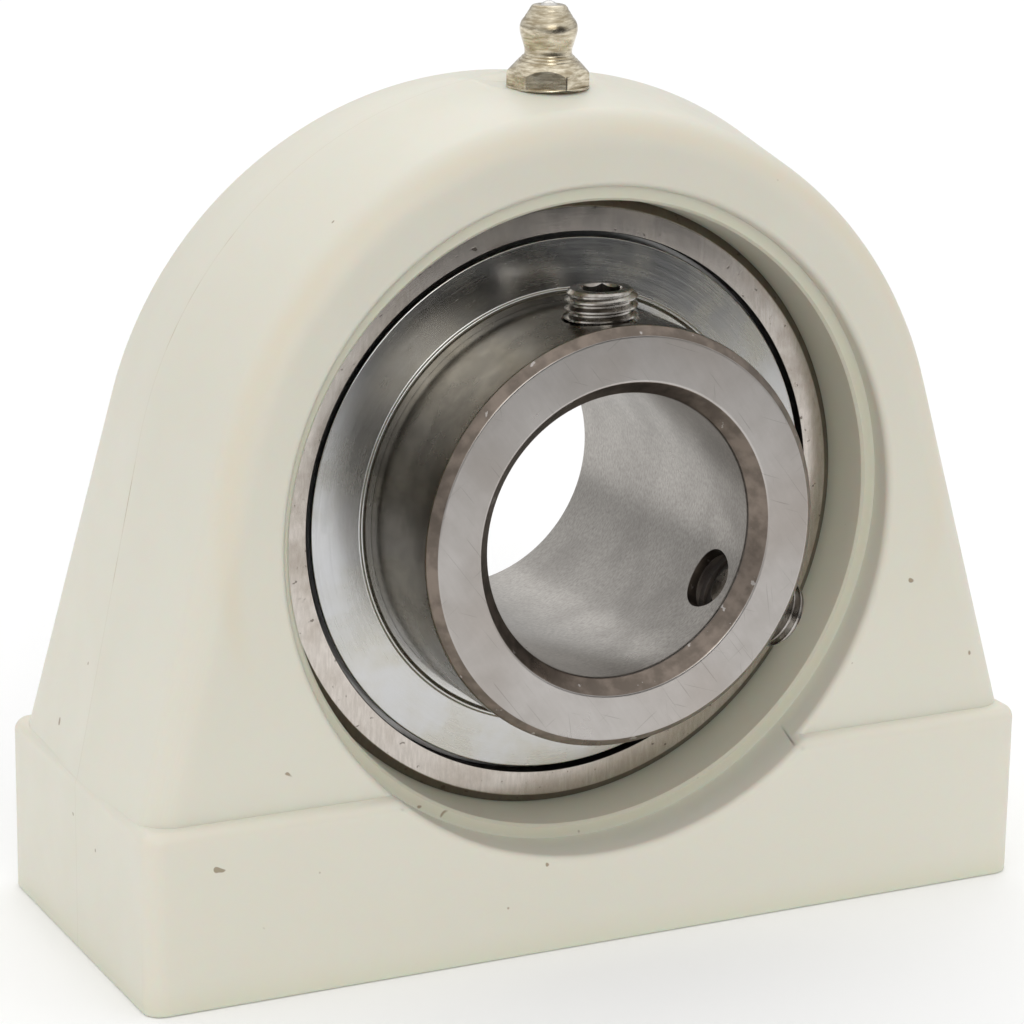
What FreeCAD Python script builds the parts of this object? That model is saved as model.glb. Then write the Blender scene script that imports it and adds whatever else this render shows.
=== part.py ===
import FreeCAD, Part
import math
import os
from enum import IntEnum
from types import SimpleNamespace

import Sketcher

# A tapped-base pillow block bearing. Millimetres and degrees. +Z is up, +X runs along the foot, and the side with the
# set screws faces -Y. The origin is the middle of the foot's underside, and the shaft's axis runs along Y above it.

DOCUMENT = FreeCAD.newDocument("pillow_block_bearing")

# Driving dimensions: a name, its value, and what it measures
DRIVING = [
    ("centre_height", 47.6, "underside to shaft axis"),
    ("base_length", 108.5, "foot, along X"),
    ("base_depth", 44.6, "foot, along Y"),
    ("base_drop", 27.1, "foot's top, below the shaft axis"),
    ("base_corner_radius", 2.2, "foot, upright corners"),
    ("base_top_radius", 1.4, "foot, rounding of the top edges"),
    ("arch_wall", 11.1, "arch, over the outer ring's sphere at the parting line"),
    ("arch_draft", 3.5, "arch, from the parting line to the foot's front and rear faces"),
    ("leg_setback", 0.35, "legs, behind the foot's ends at the parting line"),
    ("leg_draft", 0.6, "legs, from the parting line to the foot's front and rear faces"),
    ("face_setback", 1.8, "arch's faces, behind the foot's"),
    ("face_lean", 4.4, "arch's faces, from the foot to the top"),
    ("arch_edge_radius", 4.0, "arch, rounding between the outside and the faces"),
    ("arch_root", 1.2, "arch, depth sunk in the foot"),
    ("dish_depth", 4.7, "dish, from the arch's faces on the foot to the collar's rim"),
    ("collar_mouth_inset", 0.6, "collar's mouth, inside the outer ring's sphere"),
    ("dish_margin", 1.0, "dish round the collar, past the outer ring's sphere"),
    ("dish_rim_radius", 0.7, "dish, rounding of its rim"),
    ("seat_clearance", 0.03, "outer ring in its seat, radial"),
    ("seat_setback", 0.8, "seat's edges, inside the outer ring's faces"),
    ("loading_clearance", 0.3, "loading slot round the turned outer ring"),
    ("outer_ring_wall", 3.674, "outer ring, from its ball track to its sphere"),
    ("seal_room", 0.844, "outer ring, from the cage's pockets to the seal grooves"),
    ("ring_bevel_length", 0.75, "outer ring, bevel along the axis"),
    ("ring_bevel_drop", 0.95, "outer ring, bevel across the axis"),
    ("track_shoulder", 2.33, "both rings, depth of the ball track"),
    ("ring_mouth_step", 1.0, "outer ring, bore at its face past the shoulder"),
    ("seal_groove_depth", 0.4, "outer ring, groove for the seal"),
    ("seal_groove_width", 1.0, "outer ring, groove for the seal"),
    ("seal_groove_inset", 1.7, "outer ring, from its face to the seal groove"),
    ("grease_groove_place", 5.0, "grease groove, towards the front from the middle"),
    ("grease_groove_width", 2.6, "grease groove"),
    ("grease_groove_depth", 0.9, "grease groove"),
    ("grease_hole_radius", 0.75, "grease holes through the outer ring"),
    ("ball_diameter", 11.112, "balls"),
    ("track_radius", 5.72, "ball tracks, across the track"),
    ("track_clearance", 0.02, "ball in its tracks, radial"),
    ("bore_radius", 15.875, "shaft bore"),
    ("inner_ring_wall", 5.299, "inner ring, from the bore to its ball track"),
    ("bore_bevel_rise", 1.65, "shaft bore, bevel across the axis"),
    ("bore_bevel_length", 1.8, "shaft bore, bevel along the axis"),
    ("inner_ring_bevel", 1.0, "inner ring, outer edges"),
    ("inner_ring_front", 25.4, "inner ring, long side, from the middle"),
    ("inner_ring_rear", 17.5, "inner ring, short side, from the middle"),
    ("set_screw_radius", 4.0, "set screws, thread"),
    ("set_screw_clearance", 0.04, "set screws in their holes, radial"),
    ("set_screw_length", 9.0, "set screws"),
    ("set_screw_bevel", 0.7, "set screws, socket end"),
    ("set_screw_cup", 2.2, "set screws, radius of the cup point"),
    ("set_screw_cup_depth", 1.1, "set screws, depth of the cup point"),
    ("set_screw_place", 6.5, "set screws' axes, behind the inner ring's front face"),
    ("set_screw_flats", 4.0, "set screws, hexagon socket across flats"),
    ("set_screw_socket_depth", 4.0, "set screws, hexagon socket"),
    ("set_screw_top_angle", 91.0, "top screw, from +X towards +Z"),
    ("set_screw_spread", 120.0, "from the top screw to the side one"),
    ("set_screw_top_stand", 3.1, "top screw, past the inner ring's outside"),
    ("set_screw_side_stand", 3.7, "side screw, past the inner ring's outside"),
    ("cage_width", 4.3, "cage, across the ball circle"),
    ("cage_thickness", 0.8, "cage, each half"),
    ("cage_clearance", 0.1, "ball in its pocket"),
    ("rivet_radius", 0.9, "cage rivets"),
    ("rivet_head_radius", 1.6, "cage rivets"),
    ("rivet_head_height", 0.6, "cage rivets"),
    ("seal_thickness", 0.6, "seal carrier"),
    ("seal_clearance", 0.1, "seal carrier, from the groove's inner side"),
    ("seal_fit", 0.02, "seal carrier in its groove, radial"),
    ("lip_height", 2.7, "rubber lip, from the inner ring to the carrier"),
    ("lip_clearance", 0.05, "rubber lip on the inner ring"),
    ("lip_inner_flap", 0.5, "rubber lip, inside the carrier"),
    ("lip_outer_flap", 0.6, "rubber lip, outside the carrier"),
    ("lip_overlap", 1.2, "rubber lip over the carrier"),
    ("flinger_gap", 0.6, "flingers in the outer ring's mouth, radial"),
    ("flinger_thickness", 0.7, "flingers"),
    ("flinger_stand", 0.1, "flingers, past the outer ring's faces"),
    ("flinger_flange", 1.3, "flingers, rim along the axis"),
    ("flinger_ridge_height", 0.8, "flingers, ridge beside the inner ring"),
    ("flinger_ridge_inset", 0.9, "flingers, from the inner ring to the ridge"),
    ("flinger_ridge_width", 1.0, "flingers, crest of the ridge"),
    ("nipple_place", 4.4, "grease nipple, towards the front from the middle"),
    ("spot_face_depth", 0.95, "spot-face under the nipple, below the top of the arch"),
    ("spot_face_radius", 6.4, "spot-face under the nipple"),
    ("nipple_thread_radius", 3.175, "nipple, thread"),
    ("nipple_thread_length", 5.65, "nipple, thread"),
    ("nipple_thread_clearance", 0.04, "nipple in its hole"),
    ("grease_passage_radius", 1.1, "from the nipple's hole to the seat"),
    ("nipple_flats", 8.0, "nipple, hexagon across flats"),
    ("nipple_turn", 30.5, "nipple, hexagon about its axis"),
    ("nipple_hexagon_height", 1.65, "nipple, hexagon at its corners"),
    ("nipple_neck_height", 4.3, "nipple, spot-face to neck"),
    ("nipple_neck_radius", 2.6, "nipple"),
    ("nipple_belly_height", 6.65, "nipple, spot-face to the widest place of the head"),
    ("nipple_belly_radius", 3.2, "nipple"),
    ("nipple_top_height", 9.0, "nipple, spot-face to top"),
    ("nipple_top_radius", 1.85, "nipple"),
    ("nipple_mouth_radius", 0.95, "nipple, mouth"),
    ("nipple_chamber_radius", 1.35, "nipple, chamber of the check ball"),
    ("nipple_chamber_floor", 2.75, "nipple, spot-face to the chamber's floor"),
    ("check_ball_radius", 1.25, "check ball"),
    ("check_ball_clearance", 0.02, "check ball under its seat"),
    ("nipple_spring_wire", 0.3, "check ball's spring, wire diameter"),
    ("nipple_spring_pitch", 0.8, "check ball's spring"),
    ("nipple_spring_clearance", 0.06, "check ball's spring, at its ends and in its chamber"),
    ("thread_edge_distance", 12.95, "threaded inserts' axes, from the foot's ends"),
    ("thread_radius", 5.0, "threaded inserts, thread"),
    ("thread_end_wall", 3.0, "threaded inserts, over the end of the thread"),
    ("thread_bevel", 0.8, "threaded inserts, mouth"),
    ("thread_insert_radius", 7.5, "threaded inserts"),
    ("thread_insert_cover", 4.5, "foot, over the threaded inserts"),
    ("thread_insert_groove", 0.8, "threaded inserts, depth of the groove that holds them"),
]

BALL_COUNT = 9
FIRST_BALL_ANGLE = 90.0
GREASE_HOLE_ANGLES = (90.0, 270.0)
UPRIGHT = FreeCAD.Rotation()
AXIS_TO_Y = FreeCAD.Rotation(FreeCAD.Vector(1, 0, 0), -90)
HEXAGON_ANGLES = [15.0 + 60.0 * corner for corner in range(6)]
HALF_FLAT_ANGLE = 30.0
NOTHING = 1e-9
NEAR = 0.01


class Side(IntEnum):
    """The side of the housing, as the sign of Y."""

    FRONT = -1
    REAR = 1


class Point(IntEnum):
    """A point of a sketch element, by the number that a constraint takes."""

    START = 1
    END = 2
    CENTRE = 3


class Axis(IntEnum):
    """A sketch's own axes, by the numbers that a constraint takes. Its origin has the first one's number."""

    ACROSS = -1
    UP = -2


class Size:
    """A length or an angle: its number, and the expression that ties it to the driving dimensions."""

    def __init__(self, number, text):
        self.number = number
        self.text = text

    @staticmethod
    def of(value):
        return value if isinstance(value, Size) else Size(float(value), repr(float(value)))

    def __add__(self, other):
        other = Size.of(other)
        return Size(self.number + other.number, f"({self.text} + {other.text})")

    def __sub__(self, other):
        other = Size.of(other)
        return Size(self.number - other.number, f"({self.text} - {other.text})")

    def __mul__(self, other):
        other = Size.of(other)
        return Size(self.number * other.number, f"({self.text} * {other.text})")

    def __truediv__(self, other):
        other = Size.of(other)
        return Size(self.number / other.number, f"({self.text} / {other.text})")

    def __neg__(self):
        return Size(-self.number, f"(-1 * {self.text})")

    __radd__ = __add__

    def __rsub__(self, other):
        return Size.of(other) - self

    __rmul__ = __mul__


def root(value):
    """The square root of a size."""
    return Size(math.sqrt(value.number), f"sqrt({value.text})")


def cosine(angle):
    """The cosine of an angle in degrees."""
    angle = Size.of(angle)
    return Size(math.cos(math.radians(angle.number)), f"cos({angle.text})")


def sine(angle):
    """The sine of an angle in degrees."""
    angle = Size.of(angle)
    return Size(math.sin(math.radians(angle.number)), f"sin({angle.text})")


def chord_half(radius, distance):
    """Half the chord that a line at this distance from the centre cuts from a circle."""
    return root(radius * radius - distance * distance)


def write_sheet():
    """Puts the driving dimensions in a sheet and returns them as sizes, by name."""
    sheet = DOCUMENT.addObject("Spreadsheet::Sheet", "Sizes")
    sizes = {}
    for row, (name, value, note) in enumerate(DRIVING, start=1):
        sheet.set(f"A{row}", note)
        sheet.set(f"B{row}", str(value))
        sheet.setAlias(f"B{row}", name)
        sizes[name] = Size(float(value), f"Sizes.{name}")
    DOCUMENT.recompute()
    return SimpleNamespace(**sizes)


S = write_sheet()

# Sizes that follow from the driving dimensions
BALL_RADIUS = S.ball_diameter / 2
INNER_TRACK_RADIUS = S.bore_radius + S.inner_ring_wall
PITCH_RADIUS = INNER_TRACK_RADIUS + S.track_clearance + BALL_RADIUS
OUTER_TRACK_RADIUS = PITCH_RADIUS + BALL_RADIUS + S.track_clearance
RING_SPHERE_RADIUS = OUTER_TRACK_RADIUS + S.outer_ring_wall
RING_SHOULDER_RADIUS = OUTER_TRACK_RADIUS - S.track_shoulder
RING_MOUTH_RADIUS = RING_SHOULDER_RADIUS + S.ring_mouth_step
INNER_RING_RADIUS = INNER_TRACK_RADIUS + S.track_shoulder
CAGE_HALF_WIDTH = BALL_RADIUS + S.cage_clearance + S.cage_thickness
SEAL_GROOVE_RADIUS = RING_MOUTH_RADIUS + S.seal_groove_depth
SEAL_GROOVE_INNER = CAGE_HALF_WIDTH + S.seal_room
SEAL_GROOVE_OUTER = SEAL_GROOVE_INNER + S.seal_groove_width
RING_HALF_WIDTH = SEAL_GROOVE_OUTER + S.seal_groove_inset
BASE_HEIGHT = S.centre_height - S.base_drop
ARCH_RADIUS = RING_SPHERE_RADIUS + S.arch_wall
ARCH_TOP = S.centre_height + ARCH_RADIUS
LEG_HALF_WIDTH = S.base_length / 2 - S.leg_setback
FACE_HALF_DEPTH = S.base_depth / 2 - S.face_setback
DISH_RADIUS = RING_SPHERE_RADIUS + S.dish_margin
COLLAR_HALF_DEPTH = FACE_HALF_DEPTH - S.dish_depth
SPOT_FACE_HEIGHT = ARCH_TOP - S.spot_face_depth
THREAD_PLACE = S.base_length / 2 - S.thread_edge_distance
THREAD_INSERT_LENGTH = BASE_HEIGHT - S.thread_insert_cover
THREAD_DEPTH = THREAD_INSERT_LENGTH - S.thread_end_wall


def tie(thing, **paths):
    """Ties properties to sizes: each keyword is a property."""
    for path, value in paths.items():
        thing.setExpression(path, Size.of(value).text)


def place(thing, across=0.0, along=0.0, up=0.0, rotation=UPRIGHT):
    """Puts a thing at a point that is tied to sizes, turned by a fixed rotation."""
    across, along, up = Size.of(across), Size.of(along), Size.of(up)
    thing.Placement = FreeCAD.Placement(FreeCAD.Vector(across.number, along.number, up.number), rotation)
    thing.setExpression("Placement.Base.x", across.text)
    thing.setExpression("Placement.Base.y", along.text)
    thing.setExpression("Placement.Base.z", up.text)
    return thing


class Arc:
    """A side of an outline that is an arc about a point on the sketch's upright axis."""

    def __init__(self, centre_up, radius, clockwise=False):
        self.centre_up = Size.of(centre_up)
        self.radius = radius
        self.clockwise = clockwise


def new_body(label):
    """An empty body with this label."""
    body = DOCUMENT.addObject("PartDesign::Body", label)
    body.Label = label
    return body


def new_sketch(body, plane, name, offset=None):
    """A sketch on one of the body's own planes, moved along the plane's normal by the offset."""
    sketch = body.newObject("Sketcher::SketchObject", name)
    support = next(item for item in body.Origin.OriginFeatures if item.Role == plane)
    sketch.AttachmentSupport = [(support, "")]
    sketch.MapMode = "FlatFace"
    if offset is not None:
        sketch.AttachmentOffset = FreeCAD.Placement(FreeCAD.Vector(0, 0, offset.number), UPRIGHT)
        sketch.setExpression("AttachmentOffset.Base.z", offset.text)
    return sketch


def arc_through(start, end, arc):
    """An arc element between two points. An arc element always runs anticlockwise."""
    centre_up, radius = arc.centre_up.number, arc.radius.number
    angles = [math.atan2(up - centre_up, across) for across, up in (start, end)]
    first, last = reversed(angles) if arc.clockwise else angles
    whole = Part.Circle(FreeCAD.Vector(0, centre_up, 0), FreeCAD.Vector(0, 0, 1), radius)
    return Part.ArcOfCircle(whole, first, last)


def hold(sketch, kind, element, point, value):
    """Ties a point's distance from a sketch axis to a size, or puts the point on the axis."""
    if abs(value.number) < NOTHING:
        axis = Axis.UP if kind == "DistanceX" else Axis.ACROSS
        sketch.addConstraint(Sketcher.Constraint("PointOnObject", element, point, axis))
        return
    number = sketch.addConstraint(
        Sketcher.Constraint(kind, Axis.ACROSS, Point.START, element, point, value.number)
    )
    name_and_tie(sketch, number, f"{kind}_{element}_{point.name.lower()}", value)


def name_and_tie(sketch, number, name, value):
    """Names a constraint and ties it to a size."""
    sketch.renameConstraint(number, name)
    sketch.setExpression(f"Constraints.{name}", value.text)


def outline(sketch, corners, arcs=None):
    """Draws one closed loop through the corners and ties it to its sizes.

    corners are (across, up) pairs. arcs maps the number of a side to its Arc. A corner on an arc is tied across only,
    because the arc's radius gives its height.
    """
    arcs = arcs or {}
    corners = [(Size.of(across), Size.of(up)) for across, up in corners]
    numbers = [(across.number, up.number) for across, up in corners]
    count = len(corners)
    first_element = sketch.GeometryCount
    elements, runs_forwards = [], []
    for side in range(count):
        start, end = numbers[side], numbers[(side + 1) % count]
        if side in arcs:
            elements.append(arc_through(start, end, arcs[side]))
        else:
            elements.append(Part.LineSegment(FreeCAD.Vector(*start, 0), FreeCAD.Vector(*end, 0)))
        runs_forwards.append(side not in arcs or not arcs[side].clockwise)
    sketch.addGeometry(elements, False)
    for side in range(count):
        following = (side + 1) % count
        near = Point.END if runs_forwards[side] else Point.START
        far = Point.START if runs_forwards[following] else Point.END
        sketch.addConstraint(
            Sketcher.Constraint("Coincident", first_element + side, near, first_element + following, far)
        )
    for side, (across, up) in enumerate(corners):
        point = Point.START if runs_forwards[side] else Point.END
        hold(sketch, "DistanceX", first_element + side, point, across)
        if side not in arcs and (side - 1) % count not in arcs:
            hold(sketch, "DistanceY", first_element + side, point, up)
    for side, arc in arcs.items():
        element = first_element + side
        hold(sketch, "DistanceX", element, Point.CENTRE, Size.of(0))
        hold(sketch, "DistanceY", element, Point.CENTRE, arc.centre_up)
        number = sketch.addConstraint(Sketcher.Constraint("Radius", element, arc.radius.number))
        name_and_tie(sketch, number, f"radius_{element}", arc.radius)


def circle(sketch, up, radius):
    """Draws a circle about a point on the sketch's upright axis and ties it to its sizes."""
    element = sketch.addGeometry(Part.Circle(FreeCAD.Vector(0, up.number, 0), FreeCAD.Vector(0, 0, 1), radius.number))
    hold(sketch, "DistanceX", element, Point.CENTRE, Size.of(0))
    hold(sketch, "DistanceY", element, Point.CENTRE, up)
    number = sketch.addConstraint(Sketcher.Constraint("Radius", element, radius.number))
    name_and_tie(sketch, number, f"radius_{element}", radius)


def turned(label, corners, arcs=None):
    """A body turned about the Y axis from an outline of (along the axis, radius) corners."""
    body = new_body(label)
    sketch = new_sketch(body, "YZ_Plane", f"{label}_section")
    outline(sketch, corners, arcs)
    feature = body.newObject("PartDesign::Revolution", f"{label}_turned")
    feature.Profile = sketch
    feature.ReferenceAxis = (sketch, ["H_Axis"])
    feature.Angle = 360
    return body


def turned_upright(label, corners, arcs=None):
    """A body turned about the Z axis from an outline of (radius, height) corners."""
    body = new_body(label)
    sketch = new_sketch(body, "XZ_Plane", f"{label}_section")
    outline(sketch, corners, arcs)
    feature = body.newObject("PartDesign::Revolution", f"{label}_turned")
    feature.Profile = sketch
    feature.ReferenceAxis = (sketch, ["V_Axis"])
    feature.Angle = 360
    return body


def cylinder(label, radius, height):
    """A cylinder along Z from the origin."""
    thing = DOCUMENT.addObject("Part::Cylinder", label)
    tie(thing, Radius=radius, Height=height)
    return thing


def sphere(label, radius):
    """A ball about the origin."""
    thing = DOCUMENT.addObject("Part::Sphere", label)
    tie(thing, Radius=radius)
    return thing


def join(label, things):
    """All the things as one."""
    fuse = DOCUMENT.addObject("Part::MultiFuse", label)
    fuse.Label = label
    fuse.Shapes = things
    return fuse


def cut(label, base, tool):
    """The base less the tool."""
    result = DOCUMENT.addObject("Part::Cut", label)
    result.Label = label
    result.Base = base
    result.Tool = tool
    return result


def overlap(label, base, tool):
    """What the base and the tool share."""
    result = DOCUMENT.addObject("Part::Common", label)
    result.Label = label
    result.Base = base
    result.Tool = tool
    return result


def round_edges(body, feature, name, radius, wanted):
    """Rounds those of a feature's edges that the test wanted picks."""
    DOCUMENT.recompute()
    edges = [f"Edge{number}" for number, edge in enumerate(feature.Shape.Edges, start=1) if wanted(edge)]
    fillet = body.newObject("PartDesign::Fillet", name)
    fillet.Base = (feature, edges)
    tie(fillet, Radius=radius)
    body.Tip = fillet
    return fillet


def corner_points(edge):
    """The end points of an edge."""
    return [vertex.Point for vertex in edge.Vertexes]


def sink_dish(body, feature):
    """Takes the dish round the collar out of a body, in front and behind, and rounds its rim on the body's faces."""
    for side in Side:
        name = side.name.lower()
        plan = new_sketch(body, "XZ_Plane", f"{body.Label}_dish_{name}_plan", -COLLAR_HALF_DEPTH * side)
        circle(plan, S.centre_height, DISH_RADIUS)
        dish = body.newObject("PartDesign::Pocket", f"{body.Label}_dish_{name}")
        dish.Profile = plan
        dish.Reversed = side == Side.FRONT
        tie(dish, Length=S.base_depth)
        body.Tip = dish

    def is_rim(edge):
        middle = edge.valueAt((edge.FirstParameter + edge.LastParameter) / 2)
        distance = math.hypot(middle.x, middle.z - S.centre_height.number)
        beyond_collar = all(abs(point.y) > COLLAR_HALF_DEPTH.number + NEAR for point in corner_points(edge))
        return abs(distance - DISH_RADIUS.number) < NEAR and beyond_collar

    round_edges(body, dish, f"{body.Label}_dish_rim", S.dish_rim_radius, is_rim)


def make_foot():
    """The foot: a block with rounded upright corners, a rounded top edge and the lower part of the dish."""
    body = new_body("foot")
    sketch = new_sketch(body, "XY_Plane", "foot_plan")
    half_length, half_depth = S.base_length / 2, S.base_depth / 2
    outline(sketch, [(-half_length, -half_depth), (half_length, -half_depth),
                     (half_length, half_depth), (-half_length, half_depth)])
    block = body.newObject("PartDesign::Pad", "foot_block")
    block.Profile = sketch
    tie(block, Length=BASE_HEIGHT)

    def is_upright(edge):
        ends = corner_points(edge)
        return abs(ends[0].z - ends[1].z) > BASE_HEIGHT.number / 2

    corners = round_edges(body, block, "foot_corners", S.base_corner_radius, is_upright)

    def is_on_top(edge):
        return all(abs(point.z - BASE_HEIGHT.number) < NEAR for point in corner_points(edge))

    top = round_edges(body, corners, "foot_top_edge", S.base_top_radius, is_on_top)
    sink_dish(body, top)
    return body


def arch_outline(sketch, radius, half_width):
    """An arch over two legs that run on from it in a straight line, down to the root in the foot."""
    below = S.centre_height - BASE_HEIGHT
    reach = root(half_width * half_width + below * below)
    across_share, below_share = half_width / reach, below / reach
    cos_total = radius / reach
    sin_total = root(1 - cos_total * cos_total)
    cos_lean = cos_total * across_share + sin_total * below_share
    sin_lean = sin_total * across_share - cos_total * below_share
    root_half_width = half_width + S.arch_root * sin_lean / cos_lean
    tangent_across, tangent_up = radius * cos_lean, S.centre_height + radius * sin_lean
    root_height = BASE_HEIGHT - S.arch_root
    outline(
        sketch,
        [(-root_half_width, root_height), (root_half_width, root_height),
         (tangent_across, tangent_up), (-tangent_across, tangent_up)],
        {2: Arc(S.centre_height, radius)},
    )


def face_half_depth(height):
    """How far the leaning faces of the arch stand from its middle at this height."""
    slope = S.face_lean / (ARCH_TOP - BASE_HEIGHT)
    return FACE_HALF_DEPTH - slope * (height - BASE_HEIGHT)


def make_arch():
    """The arch with its draft on both sides of the parting line, leaning faces and rounded edges."""
    body = new_body("arch")
    half_depth = S.base_depth / 2
    sketches = []
    end_radius, end_half_width = ARCH_RADIUS - S.arch_draft, LEG_HALF_WIDTH - S.leg_draft
    for name, offset, radius, half_width in (
        ("arch_front", half_depth, end_radius, end_half_width),
        ("arch_middle", None, ARCH_RADIUS, LEG_HALF_WIDTH),
        ("arch_rear", -half_depth, end_radius, end_half_width),
    ):
        sketch = new_sketch(body, "XZ_Plane", name, offset)
        arch_outline(sketch, radius, half_width)
        sketches.append(sketch)
    loft = body.newObject("PartDesign::AdditiveLoft", "arch_loft")
    loft.Profile = sketches[0]
    loft.Sections = sketches[1:]
    loft.Ruled = True

    faces = new_sketch(body, "YZ_Plane", "arch_faces")
    low = BASE_HEIGHT - S.arch_root * 2
    high = ARCH_TOP + S.arch_wall
    beyond = S.base_depth
    for side in Side:
        outline(faces, [(face_half_depth(low) * side, low), (face_half_depth(high) * side, high),
                        (beyond * side, high), (beyond * side, low)])
    trim = body.newObject("PartDesign::Pocket", "arch_face_trim")
    trim.Profile = faces
    trim.SideType = "Symmetric"
    tie(trim, Length=S.base_length * 2)
    body.Tip = trim

    def is_face_edge(edge):
        ends = corner_points(edge)
        on_face = all(abs(abs(point.y) - face_half_depth(Size.of(point.z)).number) < NEAR for point in ends)
        return on_face and max(point.z for point in ends) > BASE_HEIGHT.number

    edges = round_edges(body, trim, "arch_edges", S.arch_edge_radius, is_face_edge)
    sink_dish(body, edges)
    return body


def make_seat_cutter():
    """What is taken from the housing round the shaft's axis: the seat, the collar's inside and the dish."""
    seat_radius = RING_SPHERE_RADIUS + S.seat_clearance
    seat_edge = RING_HALF_WIDTH - S.seat_setback
    seat_edge_radius = chord_half(seat_radius, seat_edge)
    collar, mouth_radius, far = COLLAR_HALF_DEPTH, RING_SPHERE_RADIUS - S.collar_mouth_inset, S.base_depth
    cutter = turned(
        "seat_cutter",
        [(-far, 0), (-far, DISH_RADIUS), (-collar, DISH_RADIUS), (-collar, mouth_radius),
         (-seat_edge, seat_edge_radius), (seat_edge, seat_edge_radius),
         (collar, mouth_radius), (collar, DISH_RADIUS), (far, DISH_RADIUS), (far, 0)],
        {4: Arc(0, seat_radius, clockwise=True)},
    )
    return place(cutter, up=S.centre_height)


def make_loading_slot():
    """The slot at the rear through which the outer ring goes in edge first, before it swivels into place."""
    slot = DOCUMENT.addObject("Part::Box", "loading_slot")
    half_width = RING_SPHERE_RADIUS + S.loading_clearance
    height = (RING_HALF_WIDTH + S.loading_clearance) * 2
    tie(slot, Length=half_width * 2, Width=S.base_depth, Height=height)
    return place(slot, across=-half_width, up=S.centre_height - height / 2)


def make_nipple_cutters():
    """The spot-face, the tapped hole and the passage down to the grease groove."""
    along = -S.nipple_place
    spot = place(cylinder("spot_face", S.spot_face_radius, S.spot_face_radius * 2), along=along, up=SPOT_FACE_HEIGHT)
    hole_radius = S.nipple_thread_radius + S.nipple_thread_clearance
    depth = S.nipple_thread_length + S.nipple_thread_clearance
    hole = place(cylinder("nipple_hole", hole_radius, depth), along=along, up=SPOT_FACE_HEIGHT - depth)
    seat_top = S.centre_height + S.bore_radius
    passage = place(cylinder("grease_passage", S.grease_passage_radius, SPOT_FACE_HEIGHT - seat_top),
                    along=along, up=seat_top)
    return [spot, hole, passage]


def insert_corners(inner):
    """Corners of a threaded insert's section; inner says whether the tapped hole is there or the section is solid."""
    waist = S.thread_insert_radius - S.thread_insert_groove
    third = THREAD_INSERT_LENGTH / 3
    outside = [(S.thread_insert_radius, 0), (S.thread_insert_radius, third), (waist, third),
               (waist, third * 2), (S.thread_insert_radius, third * 2),
               (S.thread_insert_radius, THREAD_INSERT_LENGTH), (0, THREAD_INSERT_LENGTH)]
    if not inner:
        return [(0, 0)] + outside
    return outside + [(0, THREAD_DEPTH), (S.thread_radius, THREAD_DEPTH), (S.thread_radius, S.thread_bevel),
                      (S.thread_radius + S.thread_bevel, 0)]


def make_housing():
    """The moulded housing."""
    foot, arch = make_foot(), make_arch()
    blank = join("housing_blank", [foot, arch])
    cutters = [make_seat_cutter(), make_loading_slot()] + make_nipple_cutters()
    for name, side in (("left", -1), ("right", 1)):
        pocket = turned_upright(f"insert_pocket_{name}", insert_corners(False))
        cutters.append(place(pocket, across=THREAD_PLACE * side))
    return cut("housing", blank, join("housing_cutters", cutters))


def make_threaded_inserts():
    """The metal inserts that are moulded into the underside."""
    for name, side in (("left", -1), ("right", 1)):
        insert = turned_upright(f"threaded_insert_{name}", insert_corners(True))
        place(insert, across=THREAD_PLACE * side)
        yield insert


def make_outer_ring():
    """The spherical outer ring with its ball track, seal grooves, grease groove and grease holes."""
    face, shoulder = RING_HALF_WIDTH, RING_SHOULDER_RADIUS
    track_centre = OUTER_TRACK_RADIUS - S.track_radius
    track_half = chord_half(S.track_radius, shoulder - track_centre)
    sphere_edge = face - S.ring_bevel_length
    edge_radius = chord_half(RING_SPHERE_RADIUS, sphere_edge)
    face_radius = edge_radius - S.ring_bevel_drop
    groove_front = -(S.grease_groove_place + S.grease_groove_width / 2)
    groove_rear = -(S.grease_groove_place - S.grease_groove_width / 2)
    groove_floor = chord_half(RING_SPHERE_RADIUS, S.grease_groove_place) - S.grease_groove_depth
    groove = [(groove_front, chord_half(RING_SPHERE_RADIUS, groove_front)), (groove_front, groove_floor),
              (groove_rear, groove_floor), (groove_rear, chord_half(RING_SPHERE_RADIUS, groove_rear))]
    outside = [(-face, RING_MOUTH_RADIUS), (-face, face_radius), (-sphere_edge, edge_radius)] + groove
    outside += [(sphere_edge, edge_radius), (face, face_radius), (face, RING_MOUTH_RADIUS)]
    inside = [(SEAL_GROOVE_OUTER, RING_MOUTH_RADIUS), (SEAL_GROOVE_OUTER, SEAL_GROOVE_RADIUS),
              (SEAL_GROOVE_INNER, SEAL_GROOVE_RADIUS), (SEAL_GROOVE_INNER, shoulder), (track_half, shoulder)]
    mirrored = [(-along, radius) for along, radius in reversed(inside)]
    sphere_arc = Arc(0, RING_SPHERE_RADIUS, clockwise=True)
    track_start = len(outside) + len(inside) - 1
    blank = turned(
        "outer_ring_blank",
        outside + inside + mirrored,
        {2: sphere_arc, 6: sphere_arc, track_start: Arc(track_centre, S.track_radius)},
    )
    place(blank, up=S.centre_height)
    holes = []
    for number, angle in enumerate(GREASE_HOLE_ANGLES, start=1):
        hole = cylinder(f"grease_hole_{number}", S.grease_hole_radius, RING_SPHERE_RADIUS)
        turn = FreeCAD.Rotation(FreeCAD.Vector(0, 1, 0), 90 - angle)
        holes.append(place(hole, along=-S.grease_groove_place, up=S.centre_height, rotation=turn))
    return cut("outer_ring", blank, join("grease_holes", holes))


def screw_turn(angle):
    """Turns +Z to the direction at this angle from +X towards +Z, in the plane across the shaft."""
    return FreeCAD.Rotation(FreeCAD.Vector(0, 1, 0), 90 - angle.number)


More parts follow.
